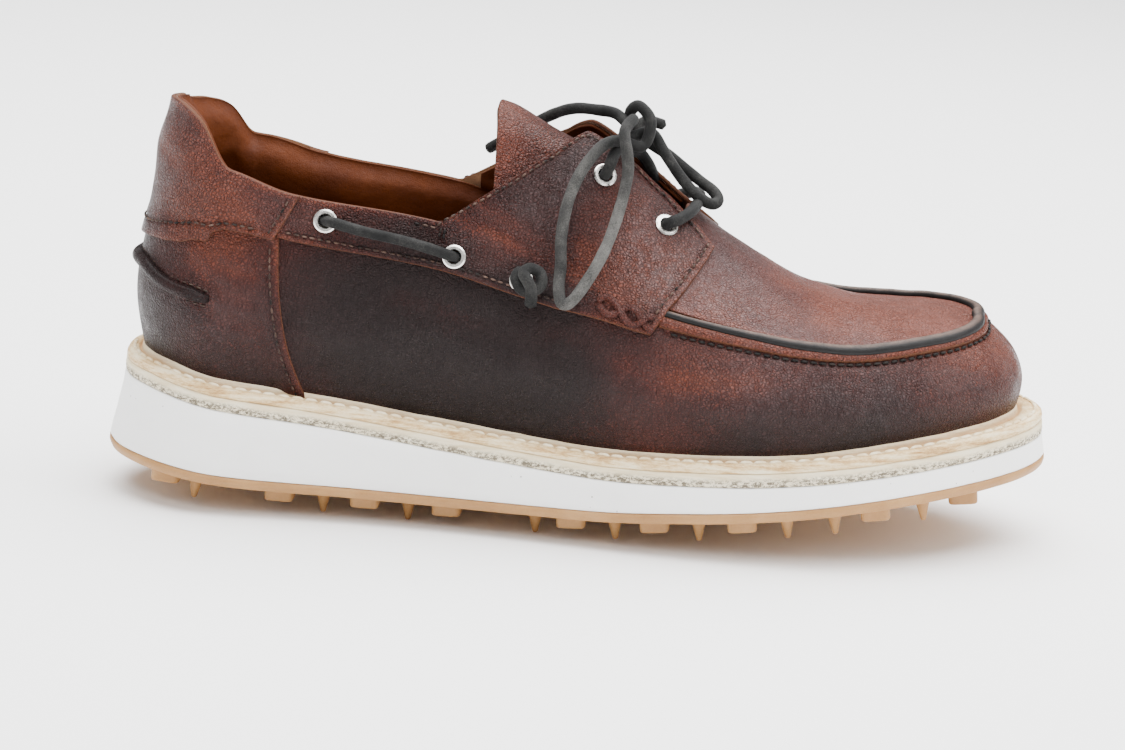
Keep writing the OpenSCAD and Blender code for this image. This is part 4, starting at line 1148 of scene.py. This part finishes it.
def ring_piece(name, profile, materials, stands_for, waves=0.0, step=1.1, extra=None, heel=1.0,
               toe=0.0):
    """A layer of the sole as one closed profile of (inset, height function) swept round it.

    Heel and toe say how much of the upper's extra inset there each point of the profile takes.
    """
    count = int(730 / step)
    u = np.linspace(0, 6, count, endpoint=False)
    edge = sole_edge(u)
    middle = anchor(u)
    reach = np.linalg.norm(middle - edge, axis=-1)
    direction = inward(u)
    v, _ = fold(u)
    heel = np.broadcast_to(heel, len(profile))
    toe = np.broadcast_to(toe, len(profile))
    rings = []
    for k, (inset, height) in enumerate(profile):
        more = heel[k] * curve(HEEL_IN, v) + toe[k] * curve(TOE_IN, v)
        xy = edge + direction * np.minimum(inset + more, reach)[:, None]
        z = height(edge[:, 0])
        ring = np.stack([xy[:, 0] - SOLE_L / 2, xy[:, 1], z], -1)
        rough = waves * noise_field(ring, 11.0, 0.3 * k) if waves and inset < 12 else 0
        ring[:, :2] += direction * np.reshape(rough * np.ones(len(u)), (-1, 1))
        rings.append(ring)
    points = np.stack(rings, 1)
    rows, columns = points.shape[:2]
    i, j = np.meshgrid(np.arange(rows), np.arange(columns), indexing="ij")
    a = (i * columns + j).ravel()
    b = (((i + 1) % rows) * columns + j).ravel()
    c = (((i + 1) % rows) * columns + (j + 1) % columns).ravel()
    d = (i * columns + (j + 1) % columns).ravel()
    faces = np.stack([a, d, c, b], -1).tolist()
    values = {key: np.tile(value, rows) for key, value in (extra or {}).items()}
    return piece(name, points, faces, materials, values=values, stands_for=stands_for)


def over(height, lift):
    return lambda s: height(s) + lift


def between(low, high, share):
    return lambda s: low(s) + (high(s) - low(s)) * share


def make_sole(materials):
    ring_piece("outsole_rubber", [
        (TO_MIDDLE, outsole_bottom), (30, outsole_bottom), (6, outsole_bottom), (1.6, outsole_bottom),
        (0.85, over(outsole_bottom, 0.10)), (0.35, over(outsole_bottom, 0.45)),
        (0.0, over(outsole_bottom, 1.1)), (-0.25, over(outsole_bottom, 2.1)),
        (-0.1, over(outsole_bottom, 3.0)), (0.35, over(foam_bottom, -0.08)), (1.4, foam_bottom),
        (TO_MIDDLE, foam_bottom)],
        [materials["gum"]], ["outsole"], waves=0.22, heel=0.0)
    ring_piece("foam_wedge", [
        (TO_MIDDLE, foam_bottom), (1.2, foam_bottom), (0.35, over(foam_bottom, 0.15)),
        (0.0, over(foam_bottom, 0.7)), (0.15, between(foam_bottom, midsole_bottom, 0.2)),
        (0.45, between(foam_bottom, midsole_bottom, 0.4)), (0.7, between(foam_bottom, midsole_bottom, 0.6)),
        (0.9, between(foam_bottom, midsole_bottom, 0.8)), (1.1, over(midsole_bottom, -0.6)),
        (1.5, over(midsole_bottom, -0.1)), (2.4, midsole_bottom), (TO_MIDDLE, midsole_bottom)],
        [materials["foam"]], ["foam_midsole"], waves=0.16,
        heel=[0, 0, 0, 0, 0.2, 0.42, 0.65, 0.87, 1, 1, 1, 1])
    rises = np.array([0, 0, 0, 0.03, 0.1, 0.28, 0.5, 0.72, 0.92, 1, 1, 1.0])
    ring_piece("midsole_leather", [
        (TO_MIDDLE, midsole_bottom), (30, midsole_bottom), (2.6, midsole_bottom),
        (1.7, over(midsole_bottom, 0.05)), (1.35, over(midsole_bottom, 0.4)),
        (1.2, over(midsole_bottom, 1.3)), (1.25, over(midsole_bottom, 2.3)),
        (1.35, over(midsole_bottom, 3.3)), (1.5, over(midsole_bottom, 4.2)), (2.1, welt_bottom),
        (30, welt_bottom), (TO_MIDDLE, welt_bottom)],
        [materials["midsole"]], ["leather_midsole"], waves=0.20,
        extra={"rise": rises})
    make_welt(materials)
    make_stitched_welt_seam(materials)


WELT_STITCH_INSET = 4.0


def make_welt(materials):
    profile = [
        (12.0, welt_bottom), (2.4, welt_bottom), (1.75, over(welt_bottom, 0.15)),
        (1.55, over(welt_bottom, 0.7)), (1.65, over(welt_bottom, 1.5)), (1.9, over(welt_bottom, 2.3)),
        (2.35, over(feather, -0.15)), (3.0, over(feather, 0.05)), (4.0, over(feather, -0.05)),
        (4.8, over(feather, 0.1)), (5.3, over(feather, -0.1)), (5.7, over(feather, -0.8)),
        (6.2, over(feather, -0.75)), (6.5, over(feather, 0.2)), (6.75, over(feather, 1.3)),
        (7.2, over(feather, 2.0)), (7.8, over(feather, 2.25)), (8.5, over(feather, 2.1)),
        (9.3, over(feather, 1.5)), (12.0, over(feather, 0.5))]
    groove = np.zeros(len(profile))
    groove[10:14] = (0.4, 1.0, 1.0, 0.7)
    lip = np.zeros(len(profile))
    lip[13:19] = (0.3, 0.7, 1.0, 1.0, 1.0, 1.0)
    ring_piece("welt_leather", profile, [materials["welt"]], ["welt"], waves=0.30,
               extra={"groove": groove, "lip": lip}, toe=[1] + [0] * 8 + [0.3, 0.7] + [1] * 9)


def make_stitched_welt_seam(materials):
    u = np.linspace(0.0, 6.0, 3000)
    edge = sole_edge(u)
    v, _ = fold(u)
    xy = edge + inward(u) * (WELT_STITCH_INSET + curve(HEEL_IN, v))[:, None]
    line = np.stack([xy[:, 0] - SOLE_L / 2, xy[:, 1], feather(edge[:, 0]) + 0.15], -1)
    line = resampled(line, 0.25)
    normals = np.tile([0.0, 0.0, 1.0], (len(line), 1))
    stitches("welt_stitches", [(line, normals)], materials["cream_thread"],
             pitch=4.6, length=4.3, radius=0.62, lift=0.42)


LATERAL_LUGS = [24, 62, 90, 117, 158, 185, 213, 255, 283]
MIDDLE_LUGS = [42, 75, 172, 200, 228, 262]
STUD_ROWS = [34, 76, 104, 146, 172, 199, 227, 242, 270]
WAIST_STUD = 116
LUG = (9.5, 9.0, 4.5)
EDGE_INSET = 10
STUD_H = 8.5


def tread_y(s, side):
    toe = max(0, s - SOLE_L + TOE_R) / TOE_R
    heel = max(0, HEEL_R - s) / HEEL_R
    half = float(along(MEDIAL_HALF if side > 0 else LATERAL_HALF, s))
    return float(along(CENTRELINE, s)) + side * (half * math.sqrt(1 - toe**2) * math.sqrt(1 - heel**2)
                                                 - EDGE_INSET)


def on_underside(points, s, y):
    tilt = math.atan(float(outsole_bottom(s + 3) - outsole_bottom(s - 3)) / 6)
    turn = np.array([[math.cos(tilt), 0, -math.sin(tilt)], [0, 1, 0], [math.sin(tilt), 0, math.cos(tilt)]])
    return points @ turn.T + [s - SOLE_L / 2, y, float(outsole_bottom(s))]


def lug_mesh():
    """A tread block with rounded corners and a slightly dished foot."""
    lx, ly, lz = (LUG[0] / 2, LUG[1] / 2, LUG[2])
    angle = np.linspace(0, 2 * np.pi, 40, endpoint=False)
    corner = 6.0
    reach = (np.abs(np.cos(angle)) ** corner + np.abs(np.sin(angle)) ** corner) ** (-1 / corner)
    outline = np.stack([np.cos(angle) * reach, np.sin(angle) * reach], -1)
    levels = [(1.10, 0.6), (1.04, 0.0), (1.00, -0.5), (0.985, -lz + 0.9), (0.965, -lz + 0.35),
              (0.90, -lz + 0.08), (0.80, -lz), (0.4, -lz + 0.12), (0.03, -lz + 0.15)]
    rings = [np.concatenate([outline * [lx * k, ly * k], np.full((40, 1), z)], 1) for k, z in levels]
    return rings_mesh(rings)


def stud_mesh():
    """A moulded spike: flared root, straight cone, blunt worn tip."""
    angle = np.linspace(0, 2 * np.pi, 20, endpoint=False)
    levels = [(3.4, 0.6), (2.9, -0.2), (2.5, -1.2), (2.15, -2.8), (1.6, -5.0), (1.05, -7.4),
              (0.85, -STUD_H + 0.35), (0.55, -STUD_H + 0.05), (0.05, -STUD_H)]
    rings = [np.stack([r * np.cos(angle), r * np.sin(angle), np.full(20, z)], -1) for r, z in levels]
    return rings_mesh(rings)


def rings_mesh(rings):
    sides = len(rings[0])
    faces = []
    for i in range(len(rings) - 1):
        for k in range(sides):
            a, b = i * sides + k, i * sides + (k + 1) % sides
            faces.append([a, a + sides, b + sides, b])
    faces.append(list(range(sides)))
    faces.append([(len(rings) - 1) * sides + sides - 1 - k for k in range(sides)])
    return np.concatenate(rings), faces, {}


def make_tread(materials):
    points, faces, _ = lug_mesh()
    lugs = [(s, tread_y(s, side)) for s in LATERAL_LUGS for side in (-1, 1)]
    lugs += [(s, float(along(CENTRELINE, s))) for s in MIDDLE_LUGS]
    placed = [(on_underside(points, s, y), faces, {}) for s, y in lugs]
    p, f, _ = merged(placed)
    piece("tread_lugs", p, f, [materials["gum"]], stands_for=["traction_lugs"])
    points, faces, _ = stud_mesh()
    studs = [(s, tread_y(s, side) - side * 2) for s in STUD_ROWS for side in (-1, 1)]
    studs.append((WAIST_STUD, float(along(CENTRELINE, WAIST_STUD))))
    p, f, _ = merged([(on_underside(points, s, y), faces, {}) for s, y in studs])
    piece("tread_studs", p, f, [materials["gum"]], stands_for=["traction_studs"])


def make_inside_sole(materials):
    inset = FEATHER_IN + 3.3
    ring_piece("footbed_pad", [
        (TO_MIDDLE, over(feather, 2.2)), (inset + 1.5, over(feather, 2.2)),
        (inset + 0.4, over(feather, 2.8)), (inset + 0.2, over(feather, 4.4)),
        (inset + 0.5, over(feather, 5.6)), (inset + 1.4, over(feather, 6.3)),
        (inset + 3.5, over(feather, 6.4)), (inset + 12, over(feather, 6.0)),
        (TO_MIDDLE, over(feather, 5.8))],
        [materials["footbed"]], ["footbed"], step=2.0, toe=1.0)
    ring_piece("insole_board_sheet", [
        (TO_MIDDLE, over(feather, 0.1)), (inset + 1.4, over(feather, 0.1)),
        (inset + 0.7, over(feather, 0.6)), (inset + 0.6, over(feather, 1.5)),
        (inset + 1.2, over(feather, 2.0)), (TO_MIDDLE, over(feather, 2.0))],
        [materials["board"]], ["insole_board"], step=3.0, toe=1.0)


# ---------------------------------------------------------------- upper


def leaning(u, w):
    """The side seams sweep forward towards the welt."""
    v, medial = fold(u)
    lean = SEAM_LEAN * np.clip((1.3 - v) / (1.3 - SEAM), 0, 1)
    return u + np.where(medial, -1, 1) * lean * (1 - w) ** SEAM_BEND


def vamp_top(u):
    v, _ = fold(u)
    return np.where(v < 1.6, 0.955, 0.955 + 0.04 * smooth(v, 1.6, 1.75))


def vamp_place(a, b):
    u = SEAM + (6 - 2 * SEAM) * a
    w = 0.004 + (vamp_top(u) - 0.004) * b
    return leaning(u, w), w


def counter_place(a, b):
    u = (SEAM + 0.012) * (2 * a - 1)
    w = 0.004 + 0.95 * b
    lean = np.sign(u) * SEAM_LEAN * np.clip((np.abs(u) - 0.8) / (SEAM - 0.8), 0, 1)
    return u + lean * (1 - w) ** SEAM_BEND, w


def counter_lift(u, w):
    """The counter's front edge rides up over the vamp."""
    x = np.abs(np.where(u > 3, u - 6, u))
    ride = 1.05 * smooth(x - SEAM_LEAN * (1 - w) ** SEAM_BEND, SEAM - 0.04, SEAM - 0.006)
    return ride + 0.8 * np.exp(-(((w - 0.25) / 0.15) ** 2)) * smooth(x, 1.0, 0.6)


def patch_place(a, b):
    u = 1.122 * (2 * a - 1)
    low = lookup(PATCH_LOW, np.abs(u))
    w = low + (1 - low) * b
    lean = np.sign(u) * 0.18 * np.clip((np.abs(u) - 0.9) / 0.2, 0, 1)
    return u + lean * (w - 1), w


def patch_lift(u, w):
    """The patch rides over the quarters' ends, swells over the padding and dips below it."""
    x = np.abs(u) + 0.18 * (1 - w)
    padding = 1.7 * np.exp(-(((w - 0.84) / 0.09) ** 2)) - 0.5 * np.exp(-(((w - 0.6) / 0.07) ** 2))
    return 0.2 + 1.15 * smooth(x, 1.02, 1.08) + padding * smooth(np.abs(u), 1.1, 0.75)


def edge_table(knots, count=500, window=7):
    """A dense (station, level) edge against its share of the real length, corners softened."""
    dense = route_points(knots, count)
    kernel = np.ones(window) / window
    for k in range(2):
        padded = np.pad(dense[:, k], window // 2, mode="reflect", reflect_type="odd")
        dense[:, k] = np.convolve(padded, kernel, "valid")
    point = base(dense[:, 0], dense[:, 1])
    run = np.concatenate([[0], np.cumsum(np.linalg.norm(np.diff(point, axis=0), axis=1))])
    return run / run[-1], dense


BAND_TABLE = edge_table(BAND_EDGE)
TOP_TABLE = edge_table(TOP_EDGE)


def quarter_place(a, b):
    low = np.stack([np.interp(a, BAND_TABLE[0], BAND_TABLE[1][:, k]) for k in range(2)], -1)
    high = np.stack([np.interp(a, TOP_TABLE[0], TOP_TABLE[1][:, k]) for k in range(2)], -1)
    spot = low + (high - low) * b[..., None]
    bow = FRONT_BOW * 4 * b * (1 - b) * smooth(a, 0.7, 1.0)
    return spot[..., 0] + bow, spot[..., 1]


def medial_quarter_place(a, b):
    u, w = quarter_place(1 - a, b)
    return 6 - u, w


def inset_run(place, frame, side, distance, low=0.0, high=1.0, count=240):
    """(station, level) knots that follow one side of a panel a set distance inside it."""
    t = np.linspace(low, high, count)
    step = 0.01
    border, sign = (0.0, 1) if side in ("low", "start") else (1.0, -1)

    def at(share):
        x = border + sign * share * np.ones(count)
        return place(t, x) if side in ("low", "high") else place(x, t)

    speed = np.linalg.norm(frame(*at(step))[0] - frame(*at(0.0))[0], axis=-1) / step
    p, q = at(distance / speed)
    return list(zip(p, q))


def seam_line(place, side, distance, height, low=0.0, high=1.0, frame=skin_frame):
    knots = inset_run(place, frame, side, distance, low, high)
    return stitch_run(frame, knots, height, smooth_line=False)


def make_wall(materials):
    leathers = [materials["dark_leather"], materials["cut_edge"], materials["flesh"]]
    ridge_stitch = [(u, 0.885) for u in np.linspace(1.76, 4.24, 60)]
    ridge_run = stitch_run(skin_frame, ridge_stitch, LEATHER_T)
    panel("vamp_leather", vamp_place, 0.0, LEATHER_T, leathers, spacing=1.0,
          seams=[ridge_run[0]], holes=HOLE_CENTRES, stands_for=["vamp"])
    stitches("vamp_ridge_stitches", [ridge_run], materials["black_thread"],
             pitch=3.0, length=2.5, radius=0.42, lift=0.42)
    counter = [materials["counter_leather"], materials["cut_edge"], materials["flesh"]]
    front = [seam_line(counter_place, side, 3.0, LEATHER_T + 1.05, 0.0, 0.80) for side in ("start", "end")]
    panel("counter_leather", counter_place, lambda u, w: counter_lift(u, w),
          lambda u, w: LEATHER_T + counter_lift(u, w), counter, spacing=1.0,
          seams=[run[0] for run in front], stands_for=["heel_counter_panel"])
    stitches("counter_stitches", front, materials["dark_thread"], pitch=2.7, length=2.1)


def make_bead(materials):
    u = np.linspace(-0.935, 0.935, 400)
    w = curve(BEAD_LEVEL, np.abs(u))
    line, _ = laid(skin_frame, u, w, np.full(len(u), LEATHER_T + BEAD_D / 2 - 1.4))
    line = resampled(line, 0.8)
    share = np.abs(np.linspace(-1, 1, len(line)))
    radius = BEAD_D / 2 * (1 - 0.35 * smooth(share, 0.85, 1.0))
    points, faces, values = tube_mesh(line, radius, 18)
    count = len(points)
    values.update({"tone": np.full(count, 0.42), "edge": np.full(count, 9.0), "fold": np.zeros(count)})
    piece("heel_bead_cord", points, faces, [materials["bead_leather"]], values=values,
          stands_for=["heel_bead"])
    runs = []
    for shift in (-0.036, 0.034):
        knots = [(x, float(curve(BEAD_LEVEL, abs(x))) + shift) for x in np.linspace(-0.93, 0.93, 40)]
        runs.append(stitch_run(skin_frame, knots, LEATHER_T))
    stitches("heel_bead_stitches", runs, materials["grey_thread"], pitch=2.6, length=2.0)


def patch_seam():
    """The seam above the patch's tab, then just inside its lower edge."""
    u = np.linspace(-1.085, 1.085, 240)
    low = lookup(PATCH_LOW, np.abs(u))
    level = (curve(PATCH_SEAM, np.abs(u)) - low) / (1 - low)
    p, q = patch_place((u / 1.122 + 1) / 2, level)
    point, out = laid(skin_frame, p, q, OVERLAY_OUT + patch_lift(p, q))
    joined = resampled(np.concatenate([point, out], 1), 0.25)
    return joined[:, :3], unit(joined[:, 3:])


def make_overlays(materials):
    leathers = [materials["red_leather"], materials["cut_edge"], materials["flesh"]]
    runs = []
    for side, place in (("lateral", quarter_place), ("medial", medial_quarter_place)):
        end = "end" if side == "lateral" else "start"
        cut = (lambda a, b: (a, b)) if side == "lateral" else (lambda a, b: (1 - b, 1 - a))
        sewn = [
            seam_line(place, "low", 2.4, OVERLAY_OUT, *cut(0.02, 0.80)),
            seam_line(place, "high", 2.6, OVERLAY_OUT, *cut(0.275, 0.975)),
            seam_line(place, end, 2.6, OVERLAY_OUT, 0.04, 0.96),
        ]
        runs += sewn
        panel(f"{side}_quarter_leather", place, OVERLAY_IN, OVERLAY_OUT, leathers,
              spacing=0.8, seams=[run[0] for run in sewn], holes=HOLE_CENTRES,
              stands_for=[f"{side}_quarter"])
    patch_low = patch_seam()
    patch_sides = [seam_line(patch_place, side, 2.6, OVERLAY_OUT + 1.25, 0.1, 0.95)
                   for side in ("start", "end")]
    panel("heel_patch_leather", patch_place, lambda u, w: OVERLAY_IN + np.maximum(patch_lift(u, w) - 0.2, 0),
          lambda u, w: OVERLAY_OUT + patch_lift(u, w),
          leathers, seams=[patch_low[0]] + [run[0] for run in patch_sides],
          stands_for=["heel_collar_patch"])
    stitches("overlay_stitches", runs + [patch_low] + patch_sides, materials["dark_thread"],
             pitch=2.6, length=2.0, radius=0.34, lift=0.34)


# Two short rows beside each other where the facing's top edge leaves the collar
BAR_TACK = [(1.362, 0.935), (1.366, 0.99)]
BAR_TACK_GAP = 0.007


def make_bar_tacks(materials):
    runs = []
    for mirror in (False, True):
        for shift in (0.0, BAR_TACK_GAP):
            knots = [(u + shift, w) for u, w in BAR_TACK]
            runs.append(stitch_run(skin_frame, mirrored(knots) if mirror else knots, OVERLAY_OUT, False))
    stitches("bar_tacks", runs, materials["black_thread"], pitch=1.5, length=1.6,
             radius=0.38, lift=0.35)


def make_plug(materials):
    def place(a, b):
        c = 0.98 * (2 * b - 1)
        rear = 1.765 - 0.07 * smooth(np.abs(c), 0.55, 0.85)
        return rear + (2.995 - rear) * a, c

    leathers = [materials["plug_leather"], materials["cut_edge"], materials["flesh"]]
    panel("plug_leather", place, 0.0, LEATHER_T, leathers, frame=ridge_frame, spacing=1.0,
          stands_for=["moc_plug"])
    make_toe_ridge(materials)


def make_toe_ridge(materials):
    """Round the toe: the black edge band standing up, and the rolled brown strip sewn below it."""
    u = np.linspace(1.735, 4.265, 900)
    w = np.full_like(u, 0.985)
    line, out = laid(skin_frame, u, w, np.full(len(u), 1.3))
    joined = resampled(np.concatenate([line, out], 1), 0.8)
    line, out = joined[:, :3], unit(joined[:, 3:])
    share = np.abs(np.linspace(-1, 1, len(line)))
    thick = 0.55 + 0.45 * smooth(1 - share, 0.0, 0.6)
    lift = np.array([0, 0, 1.0]) * (0.9 * thick)[:, None]
    points, faces, values = tube_mesh(line + lift, 2.15 * thick, 16, flatten=0.8, across_hint=out)
    values["top"] = (points[:, 2] - np.repeat((line + lift)[:, 2], 16)) / np.repeat(2.15 * thick, 16)
    piece("toe_edge_band", points, faces, [materials["piping"]], values=values,
          stands_for=["toe_ridge_piping"])

    def place(a, b):
        u = 1.74 + (4.26 - 1.74) * a
        return u, 0.905 + 0.07 * b

    leathers = [materials["bead_leather"], materials["cut_edge"], materials["flesh"]]
    panel("toe_ridge_strip", place, 0.6, LEATHER_T + 1.4, leathers, round_mm=1.5,
          spacing=0.6, tone_shift=0.22)


# The woven thongs: first station, length in stations, middle level, swing to each side of it, turns
BRAID_START, BRAID_RUN, BRAID_LEVEL, BRAID_SWING, BRAID_TURNS = 1.636, 0.098, 0.905, 0.044, 1.25
THONG_R = 1.15


def make_braids(materials):
    meshes = []
    for mirror in (False, True):
        for phase in (0.0, np.pi):
            t = np.linspace(0, 1, 160)
            v = BRAID_START + BRAID_RUN * t
            angle = 2 * np.pi * BRAID_TURNS * t + phase
            w = BRAID_LEVEL + BRAID_SWING * np.sin(angle)
            height = OVERLAY_OUT + 0.55 + 0.55 * np.sin(2 * angle + 0.8 + phase) + (0.2 if phase else 0)
            u = 6 - v if mirror else v
            line, out = laid(skin_frame, u, w, height)
            joined = resampled(np.concatenate([line, out], 1), 0.5)
            line, out = joined[:, :3], unit(joined[:, 3:])
            meshes.append(tube_mesh(line, THONG_R, 12, flatten=0.6, across_hint=out))
    points, faces, values = merged(meshes)
    count = len(points)
    values.update({"tone": np.full(count, 0.55), "edge": np.full(count, 1.6), "fold": np.zeros(count)})
    piece("quarter_braids", points, faces, [materials["braid_leather"]], values=values,
          stands_for=["lateral_braid", "medial_braid"])


# ---------------------------------------------------------------- inside of the upper

COLLAR_SWELL = [(0.6, 0), (0.72, 0.7), (0.83, 1), (0.9, 0.85), (0.985, 0)]


def swell(u, w):
    v, _ = fold(u)
    return COLLAR_FOAM_T * curve(COLLAR_SWELL, w) * np.clip((1.4 - v) / 0.2, 0, 1)


def roll(w):
    """The lining turns outwards over the top of the collar."""
    return 2.6 * smooth(w, 0.93, 1.0)


def lining_place(a, b):
    return -1.5 + 3.0 * a, 0.01 + 0.99 * b


def make_linings(materials):
    skins = [materials["flesh"], materials["lining"], materials["lining"]]
    panel("quarter_lining_calf", lining_place, lambda u, w: LINING_IN - swell(u, w) + roll(w),
          lambda u, w: LINING_OUT - swell(u, w) + roll(w), skins, spacing=1.3,
          stands_for=["quarter_lining"])
    panel("vamp_lining_calf", lambda a, b: (1.52 + 2.96 * a, 0.01 + 0.96 * b), LINING_IN, LINING_OUT,
          skins, spacing=2.0, stands_for=["vamp_lining"])
    panel("plug_lining_calf", lambda a, b: (1.85 + 1.0 * a, 0.9 * (2 * b - 1)), -0.35 - LINING_T, -0.35,
          skins, frame=ridge_frame, spacing=2.0, stands_for=["plug_lining"])
    for side, sign in (("lateral", 1), ("medial", -1)):
        make_facing_lining(side, sign, skins)


def make_facing_lining(side, sign, skins):
    def place(a, b):
        v = 1.40 + 0.355 * a
        low = np.full_like(v, 0.98)
        high = np.minimum(lookup(TOP_EDGE[2:], v), 1.88) - 0.012
        u = v if sign > 0 else 6 - (1.40 + 0.355 * (1 - a))
        if sign < 0:
            v = 6 - u
            high = np.minimum(lookup(TOP_EDGE[2:], v), 1.88) - 0.012
        return u, low + (high - low) * b

    panel(f"{side}_facing_lining_calf", place, 0.1, OVERLAY_IN - 0.05, [skins[0], skins[1], skins[2]],
          spacing=1.4, holes=HOLE_CENTRES, stands_for=[f"{side}_facing_lining"])


def make_padding(materials):
    foam = [materials["foam_pad"]] * 3

    def place(a, b):
        return -1.35 + 2.7 * a, 0.69 + 0.27 * b

    pad = panel("collar_foam_pad", place, lambda u, w: LINING_OUT + 0.15 - swell(u, w) + roll(w), -0.3, foam,
                spacing=1.8, round_mm=0.6, stands_for=["collar_padding"])
    board = [materials["stiffener"]] * 3
    panel("heel_stiffener_shell", lambda a, b: (-0.96 + 1.92 * a, 0.11 + 0.39 * b), -1.2, -0.35, board,
          spacing=2.2, round_mm=0.3, stands_for=["heel_stiffener"])
    panel("toe_puff_shell", lambda a, b: (2.3 + 1.4 * a, 0.17 + 0.64 * b), -1.2, -0.35, board,
          spacing=2.2, round_mm=0.3, stands_for=["toe_puff"])


TONGUE_DROP = [(1.44, 1.0), (1.475, 1.4), (1.545, 6.2), (1.615, 6.6), (1.7, 5.6), (1.82, 5.6)]
TONGUE_SIDE = [(1.44, 0.72), (1.5, 0.76), (1.7, 0.72), (1.82, 0.6)]


def tongue_height(v, c):
    """The tongue's upper face: it lies under the facings and flattens towards its free end."""
    share = 1 - (c / curve(TONGUE_SIDE, v)) ** 2
    return -curve(TONGUE_DROP, v) - 2.6 * share * smooth(v, 1.58, 1.45)


def tongue_place(a, b):
    v = 1.445 + 0.365 * a
    return v, curve(TONGUE_SIDE, v) * (2 * b - 1)


def make_tongue(materials):
    leathers = [materials["red_leather"], materials["cut_edge"], materials["flesh"]]
    panel("tongue_leather", tongue_place, lambda v, c: tongue_height(v, c) - 1.6, tongue_height,
          leathers, frame=ridge_frame, body="tongue", stands_for=["tongue"],
          tone_shift=0.34)
    skins = [materials["flesh"], materials["lining"], materials["lining"]]
    panel("tongue_lining_calf", lambda a, b: (tongue_place(a, b)[0], 0.97 * tongue_place(a, b)[1]),
          lambda v, c: tongue_height(v, c) - 2.8, lambda v, c: tongue_height(v, c) - 1.7, skins,
          frame=ridge_frame, spacing=1.6, body="tongue", stands_for=["tongue_lining"])


# ---------------------------------------------------------------- CAD nodes that stay as they are


def finish_cad_nodes(frame, materials):
    kept = {"lateral_eyelets": "nickel", "medial_eyelets": "nickel", "shank": "steel",
            "cork_filler": "cork"}
    for node, material in kept.items():
        data = frame["nodes"][node].data
        data.materials.clear()
        data.materials.append(materials[material])


# ---------------------------------------------------------------- studio


def make_camera():
    azimuth, elevation, roll_angle = (math.radians(x) for x in
                                      (CAMERA_AZIMUTH, CAMERA_ELEVATION, CAMERA_ROLL))
    back = Vector((math.sin(azimuth) * math.cos(elevation), -math.cos(azimuth) * math.cos(elevation),
                   math.sin(elevation)))
    right = Vector((0, 0, 1)).cross(back).normalized()
    up = back.cross(right)
    turned = right * math.cos(roll_angle) + up * math.sin(roll_angle)
    upright = up * math.cos(roll_angle) - right * math.sin(roll_angle)
    data = bpy.data.cameras.new("camera")
    data.lens = CAMERA_LENS
    data.shift_x, data.shift_y = CAMERA_SHIFT
    camera = bpy.data.objects.new("camera", data)
    bpy.context.scene.collection.objects.link(camera)
    spin = Matrix((turned, upright, back)).transposed().to_4x4()
    camera.matrix_world = Matrix.Translation(CAMERA_TARGET + back * CAMERA_DISTANCE) @ spin
    bpy.context.scene.camera = camera


def make_floor():
    half = 3.0
    mesh = bpy.data.meshes.new("floor")
    mesh.from_pydata([(-half, -half, 0), (half, -half, 0), (half, half, 0), (-half, half, 0)], [],
                     [(0, 1, 2, 3)])
    s = Shader("pale_floor", Specular_IOR_Level=0.1)
    s.bsdf.inputs["Base Color"].default_value = (0.95, 0.95, 0.95, 1)
    s.bsdf.inputs["Roughness"].default_value = 0.9
    mesh.materials.append(s.material)
    floor = bpy.data.objects.new("floor", mesh)
    bpy.context.scene.collection.objects.link(floor)


def make_world():
    world = bpy.data.worlds.new("studio")
    world.use_nodes = True
    background = world.node_tree.nodes["Background"]
    background.inputs["Color"].default_value = (1, 1, 1, 1)
    background.inputs["Strength"].default_value = 0.55
    bpy.context.scene.world = world


def soft_light(name, place, size, watts):
    data = bpy.data.lights.new(name, "AREA")
    data.shape = "RECTANGLE"
    data.size, data.size_y = size
    data.energy = watts
    light = bpy.data.objects.new(name, data)
    light.location = place
    aim = CAMERA_TARGET - Vector(place)
    light.rotation_euler = aim.to_track_quat("-Z", "Y").to_euler()
    bpy.context.scene.collection.objects.link(light)


def make_lights():
    soft_light("overhead", (0.15, 0.25, 1.5), (2.4, 2.0), 140.0)
    soft_light("front_key", (-0.35, -1.1, 1.25), (0.45, 0.45), 9.0)
    soft_light("front_left", (-0.9, -1.3, 0.9), (0.5, 0.5), 3.0)
    soft_light("toe_side", (1.2, -0.4, 0.7), (0.4, 0.8), 8.0)


# ---------------------------------------------------------------- the scene

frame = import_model()
materials = make_materials()
make_camera()
make_free_laces(materials)
make_throat_lacing(materials)
make_side_lace(materials)
make_side_knots(materials)
make_sole(materials)
make_tread(materials)
make_inside_sole(materials)
make_wall(materials)
make_bead(materials)
make_overlays(materials)
make_bar_tacks(materials)
make_plug(materials)
make_braids(materials)
make_linings(materials)
make_padding(materials)
make_tongue(materials)
finish_cad_nodes(frame, materials)
make_floor()
make_world()
make_lights()
